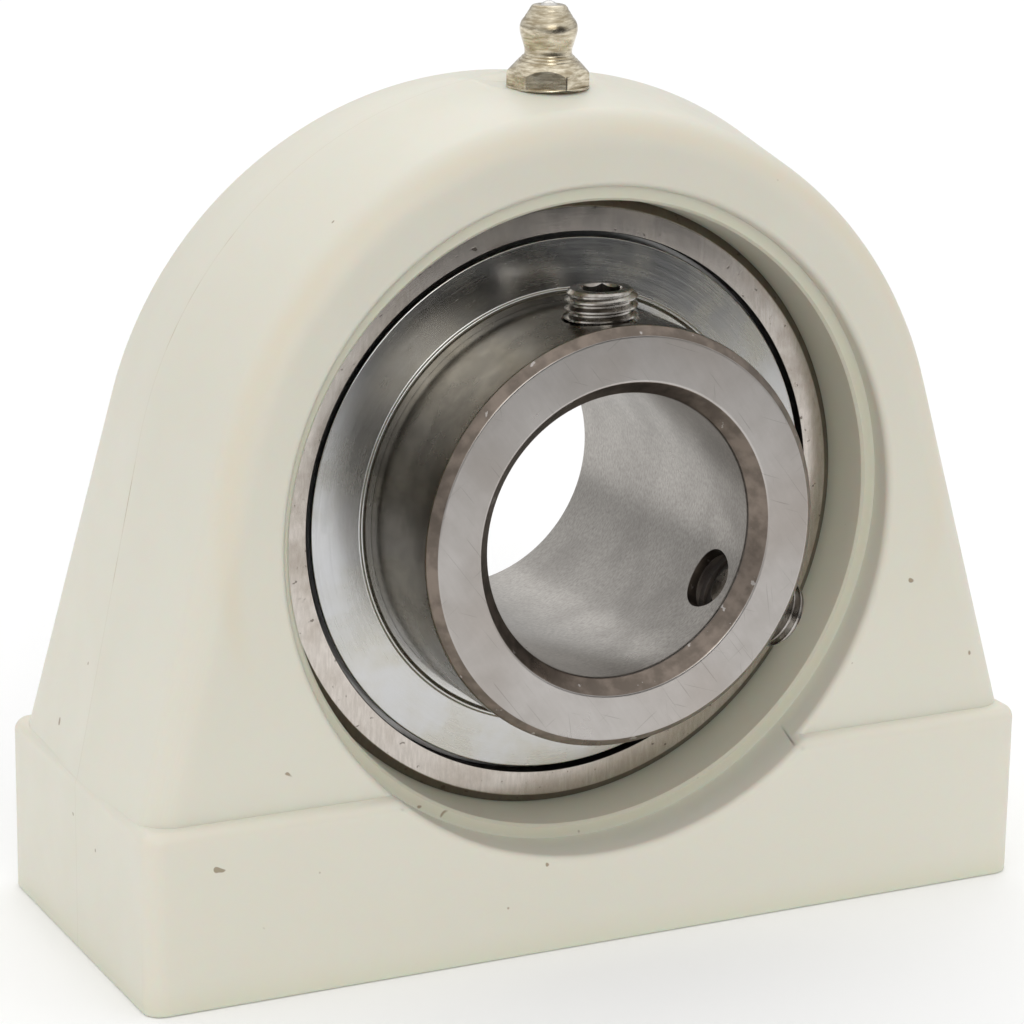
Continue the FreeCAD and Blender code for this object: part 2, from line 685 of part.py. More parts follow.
def place_on_screw_axis(thing, angle, reach):
    """Puts a thing that stands along Z on a set screw's axis, its foot at this distance from the shaft's axis."""
    along = S.set_screw_place - S.inner_ring_front
    place(thing, reach * cosine(angle), along, S.centre_height + reach * sine(angle), screw_turn(angle))
    thing.setExpression("Placement.Rotation.Angle", (90 - angle).text)
    return thing


def screw_angles():
    """Angles of the top and the side set screw."""
    return S.set_screw_top_angle, S.set_screw_top_angle - S.set_screw_spread


def make_inner_ring():
    """The wide inner ring with its ball track, chamfers and two tapped holes."""
    radius, front, rear = INNER_RING_RADIUS, -S.inner_ring_front, S.inner_ring_rear
    track_centre = INNER_TRACK_RADIUS + S.track_radius
    track_half = chord_half(S.track_radius, track_centre - radius)
    bevel = S.inner_ring_bevel
    face_radius, mouth_radius = radius - bevel, S.bore_radius + S.bore_bevel_rise
    corners = [(front + S.bore_bevel_length, S.bore_radius), (front, mouth_radius),
               (front, face_radius), (front + bevel, radius), (-track_half, radius), (track_half, radius),
               (rear - bevel, radius), (rear, face_radius), (rear, mouth_radius),
               (rear - S.bore_bevel_length, S.bore_radius)]
    blank = turned("inner_ring_blank", corners, {4: Arc(track_centre, S.track_radius)})
    place(blank, up=S.centre_height)
    holes = []
    for name, angle in zip(("top", "side"), screw_angles()):
        hole = cylinder(f"tapped_hole_{name}", S.set_screw_radius + S.set_screw_clearance, radius * 2)
        holes.append(place_on_screw_axis(hole, angle, Size.of(0)))
    return cut("inner_ring", blank, join("tapped_holes", holes))


def make_set_screw(name, angle, reach):
    """A socket set screw with a cup point, standing along its own axis from point to socket."""
    body = new_body(f"set_screw_{name}")
    section = new_sketch(body, "XZ_Plane", f"set_screw_{name}_section")
    radius, length, bevel = S.set_screw_radius, S.set_screw_length, S.set_screw_bevel
    point_length = radius - S.set_screw_cup
    outline(section, [(0, S.set_screw_cup_depth), (S.set_screw_cup, 0), (radius, point_length),
                      (radius, length - bevel), (radius - bevel, length), (0, length)])
    shank = body.newObject("PartDesign::Revolution", f"set_screw_{name}_turned")
    shank.Profile = section
    shank.ReferenceAxis = (section, ["V_Axis"])
    shank.Angle = 360
    socket_plan = new_sketch(body, "XY_Plane", f"set_screw_{name}_socket_plan", length)
    corner = S.set_screw_flats / 2 / cosine(HALF_FLAT_ANGLE)
    outline(socket_plan, [(corner * cosine(turn), corner * sine(turn)) for turn in HEXAGON_ANGLES])
    socket = body.newObject("PartDesign::Pocket", f"set_screw_{name}_socket")
    socket.Profile = socket_plan
    tie(socket, Length=S.set_screw_socket_depth)
    body.Tip = socket
    return place_on_screw_axis(body, angle, reach - length)


def ball_angles():
    """Angles of the balls' centres, from +X towards +Z."""
    return [FIRST_BALL_ANGLE + 360 / BALL_COUNT * number for number in range(BALL_COUNT)]


def around_pitch_circle(thing, angle, along=0.0, rotation=UPRIGHT):
    """Puts a thing on the circle of the balls' centres."""
    up = S.centre_height + PITCH_RADIUS * sine(angle)
    return place(thing, PITCH_RADIUS * cosine(angle), along, up, rotation)


def make_balls():
    """The balls."""
    for number, angle in enumerate(ball_angles(), start=1):
        yield around_pitch_circle(sphere(f"ball_{number}", BALL_RADIUS), angle)


def make_cage():
    """Two pressed halves with a pocket for each ball, and the rivets between the pockets that hold them together."""
    pocket_radius = BALL_RADIUS + S.cage_clearance
    shell_radius = pocket_radius + S.cage_thickness
    pockets = join("cage_pockets", [around_pitch_circle(sphere(f"pocket_{number}", pocket_radius), angle)
                                    for number, angle in enumerate(ball_angles(), start=1)])
    shells = join("cage_shells", [around_pitch_circle(sphere(f"shell_{number}", shell_radius), angle)
                                  for number, angle in enumerate(ball_angles(), start=1)])
    rivets, shanks = [], []
    for number, angle in enumerate(ball_angles(), start=1):
        between = angle + 180 / BALL_COUNT
        shank = cylinder(f"rivet_shank_{number}", S.rivet_radius, S.cage_thickness * 2)
        shanks.append(around_pitch_circle(shank, between, -S.cage_thickness, AXIS_TO_Y))
        rivets.append(shank)
        for side, along in (("front", -S.cage_thickness - S.rivet_head_height), ("rear", S.cage_thickness)):
            head = cylinder(f"rivet_head_{side}_{number}", S.rivet_head_radius, S.rivet_head_height)
            rivets.append(around_pitch_circle(head, between, along, AXIS_TO_Y))
    rivet_holes = join("rivet_holes", shanks)
    inner, outer = PITCH_RADIUS - S.cage_width / 2, PITCH_RADIUS + S.cage_width / 2
    for side in Side:
        name = side.name.lower()
        web = turned(f"cage_{name}_web", [(0, inner), (0, outer), (S.cage_thickness * side, outer),
                                          (S.cage_thickness * side, inner)])
        band = turned(f"cage_{name}_band", [(0, inner), (0, outer), (shell_radius * side, outer),
                                            (shell_radius * side, inner)])
        for body in (web, band):
            place(body, up=S.centre_height)
        pressed = join(f"cage_{name}_pressed", [web, overlap(f"cage_{name}_bulges", shells, band)])
        half = cut(f"cage_{name}_open", pressed, pockets)
        yield cut(f"cage_{name}_half", half, rivet_holes)
    yield join("cage_rivets", rivets)


def make_seal(name, side):
    """A steel seal carrier in its groove, and the rubber lip on the carrier's hole."""
    inner = SEAL_GROOVE_INNER + S.seal_clearance
    outer = inner + S.seal_thickness
    rim, hole = SEAL_GROOVE_RADIUS - S.seal_fit, INNER_RING_RADIUS + S.lip_height
    carrier = turned(f"{name}_seal_carrier", [(inner * side, hole), (inner * side, rim),
                                              (outer * side, rim), (outer * side, hole)])
    edge_radius = INNER_RING_RADIUS + S.lip_clearance
    flap_inner, flap_outer = inner - S.lip_inner_flap, outer + S.lip_outer_flap
    lip = turned(
        f"{name}_seal_lip",
        [(flap_inner * side, edge_radius), (flap_inner * side, hole - S.lip_overlap), (inner * side, hole),
         (outer * side, hole), (outer * side, hole + S.lip_overlap), (flap_outer * side, hole + S.lip_overlap),
         (flap_outer * side, edge_radius)],
    )
    for body in (carrier, lip):
        place(body, up=S.centre_height)
    return [carrier, lip]


def make_flinger(name, side):
    """A pressed shield on the inner ring: a rim turned inwards, a flat disc and a ridge beside the ring."""
    thick, face, rim = S.flinger_thickness, RING_HALF_WIDTH + S.flinger_stand, RING_MOUTH_RADIUS - S.flinger_gap
    crest = face + S.flinger_ridge_height
    hub = INNER_RING_RADIUS
    ridge_inner = hub + S.flinger_ridge_inset
    ridge_outer = ridge_inner + S.flinger_ridge_width
    foot = ridge_outer + S.flinger_ridge_height
    outside = [(face, rim), (face, foot), (crest, ridge_outer), (crest, ridge_inner), (face, hub)]
    inside = [(face - thick, hub), (crest - thick, ridge_inner), (crest - thick, ridge_outer), (face - thick, foot),
              (face - thick, rim - thick), (face - S.flinger_flange, rim - thick), (face - S.flinger_flange, rim)]
    flinger = turned(f"{name}_flinger", [(along * side, radius) for along, radius in outside + inside])
    return place(flinger, up=S.centre_height)


def make_nipple():
    """The grease nipple: a hexagon, a neck and a ball-shaped head on a threaded shank, with its chamber inside."""
    neck, belly, top = S.nipple_neck_height, S.nipple_belly_height, S.nipple_top_height
    corner = S.nipple_flats / 2 / cosine(HALF_FLAT_ANGLE)
    shoulder = S.nipple_hexagon_height + (corner - S.nipple_neck_radius)
    head = turned_upright(
        "nipple_head",
        [(0, -S.nipple_thread_length), (S.nipple_thread_radius, -S.nipple_thread_length),
         (S.nipple_thread_radius, 0), (S.nipple_neck_radius, 0), (S.nipple_neck_radius, neck),
         (S.nipple_belly_radius, belly), (S.nipple_top_radius, top), (0, top)],
    )
    prism = DOCUMENT.addObject("Part::Prism", "nipple_prism")
    prism.Polygon = 6
    tie(prism, Circumradius=corner, Height=shoulder)
    prism.Placement.Rotation = FreeCAD.Rotation(FreeCAD.Vector(0, 0, 1), S.nipple_turn.number)
    prism.setExpression("Placement.Rotation.Angle", S.nipple_turn.text)
    cone = turned_upright("nipple_bevel", [(0, 0), (corner, 0), (corner, S.nipple_hexagon_height),
                                           (S.nipple_neck_radius, shoulder), (0, shoulder)])
    solid = join("nipple_solid", [head, overlap("nipple_hexagon", prism, cone)])
    chamber = S.nipple_chamber_radius
    seat_rise = chord_half(S.check_ball_radius, S.nipple_mouth_radius)
    chamber_top = top - (chamber - S.nipple_mouth_radius)
    hollow = turned_upright(
        "nipple_hollow",
        [(0, -S.nipple_thread_length * 2), (S.grease_passage_radius, -S.nipple_thread_length * 2),
         (S.grease_passage_radius, S.nipple_chamber_floor), (chamber, S.nipple_chamber_floor),
         (chamber, chamber_top), (S.nipple_mouth_radius, top), (S.nipple_mouth_radius, top * 2), (0, top * 2)],
    )
    body = place(cut("grease_nipple_body", solid, hollow), along=-S.nipple_place, up=SPOT_FACE_HEIGHT)

    ball_height = top - seat_rise - S.check_ball_clearance
    ball = sphere("grease_nipple_ball", S.check_ball_radius)
    place(ball, along=-S.nipple_place, up=SPOT_FACE_HEIGHT + ball_height)

    coil_radius = chamber - S.nipple_spring_wire / 2 - S.nipple_spring_clearance
    floor = S.nipple_chamber_floor + S.nipple_spring_wire / 2 + S.nipple_spring_clearance
    contact = chord_half(S.check_ball_radius + S.nipple_spring_wire / 2 + S.nipple_spring_clearance, coil_radius)
    helix = DOCUMENT.addObject("Part::Helix", "nipple_spring_path")
    tie(helix, Pitch=S.nipple_spring_pitch, Height=ball_height - contact - floor, Radius=coil_radius)
    wire = DOCUMENT.addObject("Part::Circle", "nipple_spring_wire_section")
    tie(wire, Radius=S.nipple_spring_wire / 2)
    place(wire, across=coil_radius, rotation=FreeCAD.Rotation(FreeCAD.Vector(1, 0, 0), 90))
    spring = DOCUMENT.addObject("Part::Sweep", "grease_nipple_spring")
    spring.Label = "grease_nipple_spring"
    spring.Sections = [wire]
    spring.Spine = (helix, ["Edge1"])
    spring.Solid = True
    spring.Frenet = True
    place(spring, along=-S.nipple_place, up=SPOT_FACE_HEIGHT + floor)
    return [body, ball, spring]


def make_all():
    """Every piece of the bearing unit."""
    angles = screw_angles()
    pieces = [make_housing(), make_outer_ring(), make_inner_ring()]
    pieces += make_threaded_inserts()
    pieces += [make_set_screw("top", angles[0], INNER_RING_RADIUS + S.set_screw_top_stand),
               make_set_screw("side", angles[1], INNER_RING_RADIUS + S.set_screw_side_stand)]
    pieces += make_balls()
    pieces += make_cage()
    for side in Side:
        name = side.name.lower()
        pieces += make_seal(name, side)
        pieces.append(make_flinger(name, side))
    pieces += make_nipple()
    return pieces


def check(pieces):
    """Stops if any object failed to recompute, or if any piece has no valid shape."""
    failed = [item.Label for item in DOCUMENT.Objects if "Invalid" in item.State or "Error" in item.State]
    if failed:
        raise RuntimeError(f"failed objects: {failed}")
    for piece in pieces:
        if piece.Shape.isNull() or not piece.Shape.isValid() or not piece.Shape.Solids:
            raise RuntimeError(f"no valid solid: {piece.Label}")


PIECES = make_all()
DOCUMENT.recompute()
check(PIECES)
os.makedirs("parts", exist_ok=True)
for piece in PIECES:
    piece.Shape.exportStep(f"parts/{piece.Label}.step")
    print(f"{piece.Label}: {len(piece.Shape.Solids)} solid, {piece.Shape.Volume:.1f} mm3")
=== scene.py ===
"""How the pillow block bearing looks: its smooth pieces, their finishes, the studio and the camera.

Sizes are in millimetres in the classes and become metres where Blender gets them.
"""

import logging
import math
from collections.abc import Callable, Sequence
from dataclasses import dataclass
from enum import Enum
from typing import NamedTuple

import bmesh
import bpy
from mathutils import Matrix, Vector


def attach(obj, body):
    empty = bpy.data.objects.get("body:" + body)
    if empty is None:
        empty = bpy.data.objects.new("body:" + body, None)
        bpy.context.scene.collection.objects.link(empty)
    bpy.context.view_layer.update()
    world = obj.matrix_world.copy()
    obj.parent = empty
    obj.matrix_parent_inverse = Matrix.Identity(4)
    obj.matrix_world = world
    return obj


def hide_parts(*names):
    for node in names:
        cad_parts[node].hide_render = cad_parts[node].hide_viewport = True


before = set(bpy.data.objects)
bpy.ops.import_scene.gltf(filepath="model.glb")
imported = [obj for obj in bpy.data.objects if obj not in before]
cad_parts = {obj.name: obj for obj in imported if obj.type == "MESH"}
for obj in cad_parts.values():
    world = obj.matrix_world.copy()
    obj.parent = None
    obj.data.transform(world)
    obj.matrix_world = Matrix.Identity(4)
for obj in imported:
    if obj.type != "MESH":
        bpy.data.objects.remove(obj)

LOG = logging.getLogger("pillow_block")
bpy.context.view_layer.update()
MM = 0.001
SHAFT_HEIGHT = 47.6
HAIR = MM / 1000
MERGE_DISTANCE = 0.0000005
FINE, ROUND, SMALL = 192, 96, 72
HALF_FLAT = math.radians(30)

Pair = tuple[float, float]
Triple = tuple[float, float, float]
Colour = Triple
Material = bpy.types.Material
Piece = bpy.types.Object
Socket = bpy.types.NodeSocket


class Cut(Enum):
    """How a tool acts on a piece."""

    JOIN = "UNION"
    TAKE = "DIFFERENCE"
    KEEP = "INTERSECT"


def millimetres(across: float, along: float, up: float) -> Vector:
    """A place given in millimetres, in metres."""
    return Vector((across, along, up)) * MM


class Bench:
    """The modelling steps, each done by hand on the one piece that is in work."""

    @staticmethod
    def clear() -> None:
        """Leave edit mode and deselect everything, so that no step reaches another piece."""
        if bpy.context.object and bpy.context.object.mode != "OBJECT":
            bpy.ops.object.mode_set(mode="OBJECT")
        bpy.ops.object.select_all(action="DESELECT")

    @staticmethod
    def take(piece: Piece) -> None:
        """Make a piece the one in work.

        Args:
            piece: The piece.
        """
        Bench.clear()
        piece.select_set(True)
        bpy.context.view_layer.objects.active = piece

    @staticmethod
    def edit(piece: Piece, kind: str = "VERT") -> None:
        """Open a piece in edit mode with nothing selected.

        Args:
            piece: The piece.
            kind: VERT, EDGE or FACE.
        """
        Bench.take(piece)
        bpy.ops.object.mode_set(mode="EDIT")
        bpy.ops.mesh.select_mode(type=kind)
        bpy.ops.mesh.select_all(action="DESELECT")

    @staticmethod
    def named(name: str) -> Piece:
        """Name the primitive just added and settle its place into its mesh.

        Args:
            name: The piece's name.

        Returns:
            The piece.
        """
        piece = bpy.context.object
        piece.name = name
        piece.data.name = name
        bpy.ops.object.transform_apply(location=True, rotation=True, scale=True)
        return piece

    @staticmethod
    def block(name: str, low: Vector, high: Vector) -> Piece:
        """A cube primitive stretched between two corners.

        Args:
            name: The piece's name.
            low: The lowest corner, in metres.
            high: The highest corner, in metres.

        Returns:
            The block.
        """
        Bench.clear()
        bpy.ops.mesh.primitive_cube_add(size=1.0, location=(low + high) / 2, scale=high - low)
        return Bench.named(name)

    @staticmethod
    def point(name: str, place: Vector) -> Piece:
        """A plane primitive merged to the one vertex from which a section is drawn.

        Args:
            name: The piece's name.
            place: Where the vertex lies, in metres.

        Returns:
            The piece, in edit mode with its vertex selected.
        """
        Bench.clear()
        bpy.ops.mesh.primitive_plane_add(size=MM, location=place)
        piece = Bench.named(name)
        Bench.edit(piece)
        bpy.ops.mesh.select_all(action="SELECT")
        bpy.ops.mesh.merge(type="CENTER")
        bpy.ops.mesh.select_all(action="SELECT")
        return piece

    @staticmethod
    def shape() -> bmesh.types.BMesh:
        """The mesh that is open in edit mode."""
        return bmesh.from_edit_mesh(bpy.context.object.data)

    @staticmethod
    def draw_to(place: Vector) -> None:
        """Extrude the selected vertex to a place given in metres."""
        here = next(vertex.co for vertex in Bench.shape().verts if vertex.select)
        bpy.ops.mesh.extrude_vertices_move(TRANSFORM_OT_translate={"value": place - here})

    @staticmethod
    def pick_points(wanted: Callable[[Vector], bool]) -> int:
        """Select the vertices whose place passes a test.

        Args:
            wanted: The test.

        Returns:
            How many there are.
        """
        bpy.ops.mesh.select_mode(type="VERT")
        bpy.ops.mesh.select_all(action="DESELECT")
        shape = Bench.shape()
        found = [vertex for vertex in shape.verts if wanted(vertex.co)]
        for vertex in found:
            vertex.select_set(True)
        shape.select_flush_mode()
        bmesh.update_edit_mesh(bpy.context.object.data)
        return len(found)

    @staticmethod
    def pick_edges(wanted: Callable[[Vector, Vector], bool]) -> int:
        """Select the edges whose two ends pass a test.

        Args:
            wanted: The test.

        Returns:
            How many there are.
        """
        bpy.ops.mesh.select_mode(type="EDGE")
        bpy.ops.mesh.select_all(action="DESELECT")
        shape = Bench.shape()
        found = [edge for edge in shape.edges if wanted(edge.verts[0].co, edge.verts[1].co)]
        for edge in found:
            edge.select_set(True)
        bmesh.update_edit_mesh(bpy.context.object.data)
        return len(found)

    @staticmethod
    def round_off(radius: float, cuts: int, points: bool = False) -> None:
        """Bevel what is selected to a round.

        Args:
            radius: How far the round starts from the edge, in millimetres.
            cuts: How many faces it has across.
            points: Whether the points of a drawn line are rounded, not edges.
        """
        affect = "VERTICES" if points else "EDGES"
        bpy.ops.mesh.bevel(
            offset=radius * MM, offset_type="OFFSET", segments=cuts, profile=0.5, affect=affect
        )

    @staticmethod
    def tidy_up() -> None:
        """Merge what coincides and turn the faces outwards, in edit mode."""
        bpy.ops.mesh.select_all(action="SELECT")
        bpy.ops.mesh.remove_doubles(threshold=MERGE_DISTANCE)
        bpy.ops.mesh.normals_make_consistent(inside=False)

    @staticmethod
    def use(piece: Piece, tool: Piece, how: Cut) -> Piece:
        """Join a tool to a piece, take it away or keep what they share, and clear the tool away.

        Args:
            piece: The piece in work.
            tool: The tool.
            how: What the tool does.

        Returns:
            The piece.
        """
        Bench.take(piece)
        bpy.ops.object.modifier_add(type="BOOLEAN")
        modifier = piece.modifiers[-1]
        modifier.operation = how.value
        modifier.solver = "EXACT"
        modifier.object = tool
        bpy.ops.object.modifier_apply(modifier=modifier.name)
        Bench.take(tool)
        bpy.ops.object.delete()
        Bench.edit(piece)
        bpy.ops.mesh.select_all(action="SELECT")
        bpy.ops.mesh.remove_doubles(threshold=MERGE_DISTANCE * 2)
        bpy.ops.mesh.dissolve_degenerate(threshold=MERGE_DISTANCE * 2)
        Bench.clear()
        return piece

    @staticmethod
    def shade(piece: Piece, degrees: float = 30.0) -> Piece:
        """Shade a finished shape smooth, with its flats kept flat.

        Args:
            piece: The piece.
            degrees: Edges sharper than this stay sharp.

        Returns:
            The piece.
        """
        Bench.take(piece)
        bpy.ops.object.shade_smooth_by_angle(angle=math.radians(degrees))
        bpy.ops.object.modifier_add(type="WEIGHTED_NORMAL")
        modifier = piece.modifiers[-1]
        modifier.keep_sharp = True
        bpy.ops.object.modifier_apply(modifier=modifier.name)
        return piece


class Corner(NamedTuple):
    """A corner of a turned section: place along the axis, radius, rounding and the steps of its round."""

    along: float
    radius: float
    rounding: float = 0.0
    cuts: int = 3


@dataclass(frozen=True)
class Bow:
    """An arc of a turned section, about a centre to an end."""

    centre: Pair
    end: Pair
    steps: int


Section = Sequence[tuple[float, ...] | Bow]


@dataclass(frozen=True)
class Lathe:
    """An axis, upright if nothing else is given: a point on it in millimetres, its direction and one side."""

    origin: Triple
    axis: Triple = (0.0, 0.0, 1.0)
    side: Triple = (1.0, 0.0, 0.0)

    def place(self, along: float, radius: float) -> Vector:
        """A point of the section, in metres."""
        return (Vector(self.origin) + Vector(self.axis) * along + Vector(self.side) * radius) * MM

    def swing(self, start: Vector, bow: Bow) -> None:
        """Draw an arc from the selected vertex by spinning it.

        Args:
            start: The arc's start, in metres.
            bow: The arc.
        """
        centre = self.place(*bow.centre)
        end = self.place(*bow.end)
        axis, side = Vector(self.axis), Vector(self.side)

        def angle_of(place: Vector) -> float:
            """The angle of a place about the arc's centre."""
            return math.atan2((place - centre).dot(side), (place - centre).dot(axis))

        turn = (angle_of(end) - angle_of(start) + math.pi) % math.tau - math.pi
        bpy.ops.mesh.spin(steps=bow.steps, angle=-turn, center=centre, axis=axis.cross(side))
        tip = next(vertex for vertex in Bench.shape().verts if vertex.select)
        if (tip.co - end).length > HAIR:
            raise ValueError(f"arc misses its end by {(tip.co - end).length / MM:.4f} mm")

    def turn(self, name: str, path: Section, steps: int) -> Piece:
        """Draw a section and spin it once round the axis.

        Args:
            name: The piece's name.
            path: Its corners, as rows of numbers, and arcs. It closes unless both ends lie on the axis.
            steps: How many faces go round.

        Returns:
            The turned piece.
        """
        path = [step if isinstance(step, Bow) else Corner(*step) for step in path]
        first, last = path[0], path[-1]
        piece = Bench.point(name, self.place(first.along, first.radius))
        here = self.place(first.along, first.radius)
        for step in path[1:]:
            if isinstance(step, Bow):
                self.swing(here, step)
                here = self.place(*step.end)
            else:
                here = self.place(step.along, step.radius)
                Bench.draw_to(here)
        open_ended = first.radius == 0 and isinstance(last, Corner) and last.radius == 0
        if not open_ended:
            Bench.draw_to(self.place(first.along, first.radius))
        Bench.tidy_up()
        for corner in path:
            if isinstance(corner, Corner) and corner.rounding > 0:
                place = self.place(corner.along, corner.radius)
                Bench.pick_points(lambda point, place=place: (point - place).length < HAIR)
                Bench.round_off(corner.rounding, corner.cuts, points=True)
        bpy.ops.mesh.select_all(action="SELECT")
        bpy.ops.mesh.spin(steps=steps, angle=math.tau, center=self.place(0, 0), axis=self.axis)
        Bench.tidy_up()
        Bench.clear()
        return piece

    def stand(self, piece: Piece) -> Piece:
        """Move a piece that was made upright on the world's origin onto this axis, and settle it there.

        Args:
            piece: The piece.

        Returns:
            The piece.
        """
        axis, side = Vector(self.axis), Vector(self.side)
        turned = Matrix((side, axis.cross(side), axis)).transposed().to_4x4()
        Bench.take(piece)
        piece.matrix_world = Matrix.Translation(Vector(self.origin) * MM) @ turned
        bpy.ops.object.transform_apply(location=True, rotation=True, scale=True)
        return piece


def grooved(start: Pair, end: Pair, count: int, depth: float) -> list[Pair]:
    """A straight stretch of a section with shallow tool grooves.

    Args:
        start: Where it starts.
        end: Where it ends.
        count: How many grooves it has.
        depth: How deep they are, in millimetres.

    Returns:
        The corners between its ends.
    """
    (low, inner), (high, outer) = start, end
    corners = []
    for number in range(count):
        for share, sink in ((0.2, 0.0), (0.5, depth), (0.8, 0.0)):
            way = (number + share) / count
            corners.append((low + (high - low) * way, inner + (outer - inner) * way - sink))
    return corners


SHAFT = Lathe((0.0, 0.0, SHAFT_HEIGHT), (0.0, 1.0, 0.0), (0.0, 0.0, 1.0))


@dataclass(frozen=True)
class Thread:
    """A cut thread: its pitch, the depth of its groove and the share of the pitch that is flat crest."""

    pitch: float
    depth: float
    crest: float = 0.18

    def rod(self, name: str, lathe: Lathe, radius: float, turns: int, start: float) -> Piece:
        """A threaded rod with its ends cut square.

        Args:
            name: The rod's name.
            lathe: The axis it lies on.
            radius: The crest's radius.
            turns: How many turns it has once its ends are cut.
            start: Where along the axis it starts.

        Returns:
            The rod.
        """
        root = radius - self.depth
        flat = self.pitch * self.crest
        slope = (self.pitch - 2 * flat) / 2
        tooth = [(root, flat), (radius, flat + slope), (radius, 2 * flat + slope), (root, self.pitch)]
        rod = Bench.point(name, millimetres(root, 0, 0))
        for reach, up in tooth:
            Bench.draw_to(millimetres(reach, 0, up))
        Bench.clear()
        Bench.take(rod)
        bpy.ops.object.modifier_add(type="SCREW")
        screw = rod.modifiers[-1]
        screw.axis = "Z"
        screw.angle = math.tau
        screw.screw_offset = self.pitch * MM
        screw.iterations = turns + 2
        screw.steps = 48
        screw.render_steps = 48
        screw.use_merge_vertices = True
        screw.merge_threshold = MERGE_DISTANCE
        bpy.ops.object.modifier_apply(modifier=screw.name)
        Bench.edit(rod)
        Bench.tidy_up()
        for height, direction in ((self.pitch, -1.0), (self.pitch * (turns + 1), 1.0)):
            bpy.ops.mesh.select_all(action="SELECT")
            bpy.ops.mesh.bisect(
                plane_co=millimetres(0, 0, height),
                plane_no=(0, 0, direction),
                use_fill=True,
                clear_outer=True,
                threshold=MERGE_DISTANCE,
            )
        Bench.tidy_up()
        Bench.clear()
        Bench.take(rod)
        rod.location.z = (start - self.pitch) * MM
        bpy.ops.object.transform_apply(location=True, rotation=True, scale=True)
        return lathe.stand(rod)


class Nodes:
    """A node tree, with a short call for each kind of node that the finishes and the air share."""

    def __init__(self, tree: bpy.types.NodeTree) -> None:
        """Keep the tree that the nodes go into."""
        self.tree = tree

    def add(self, kind: str, **settings: object) -> bpy.types.Node:
        """A new node with some of its settings.

        Args:
            kind: The node's type.
            settings: Settings by name.

        Returns:
            The node.
        """
        node = self.tree.nodes.new(kind)
        for name, value in settings.items():
            setattr(node, name, value)
        return node

    def feed(self, socket: Socket, value: object) -> None:
        """Link a socket to another's value, or set it to a number or colour.

        Args:
            socket: The socket that gets it.
            value: A socket, number, colour or vector.
        """
        if isinstance(value, Socket):
            self.tree.links.new(value, socket)
        elif isinstance(value, (int, float)):
            socket.default_value = value
        else:
            width = len(socket.default_value)
            socket.default_value = (*value, 1.0)[:width]

    def sums(self, how: str, first: object, second: object = 0.0) -> Socket:
        """One step of arithmetic.

        Args:
            how: The operation.
            first: A socket or number.
            second: A socket or number.

        Returns:
            The result.
        """
        node = self.add("ShaderNodeMath", operation=how)
        self.feed(node.inputs[0], first)
        self.feed(node.inputs[1], second)
        return node.outputs[0]

    def split(self, vector: Socket) -> tuple[Socket, ...]:
        """The three parts of a vector.

        Args:
            vector: The vector.

        Returns:
            Its parts.
        """
        node = self.add("ShaderNodeSeparateXYZ")
        self.feed(node.inputs[0], vector)
        return tuple(node.outputs)

    def both(self, first: object, second: object) -> Socket:
        """Where two patterns both hold: their product."""
        return self.sums("MULTIPLY", first, second)

    def grade(
        self,
        value: object,
        low: float,
        high: float,
        start: float = 0.0,
        end: float = 1.0,
        how: str = "SMOOTHSTEP",
    ) -> Socket:
        """A value graded from one range to another.

        Args:
            value: The value.
            low: Where the grade starts.
            high: Where it ends.
            start: The result at the start.
            end: The result at the end.
            how: The form of the grade between them.

        Returns:
            The graded value.
        """
        node = self.add("ShaderNodeMapRange", interpolation_type=how)
        for socket, number in zip(node.inputs, (value, low, high, start, end)):
            self.feed(socket, number)
        return node.outputs[0]


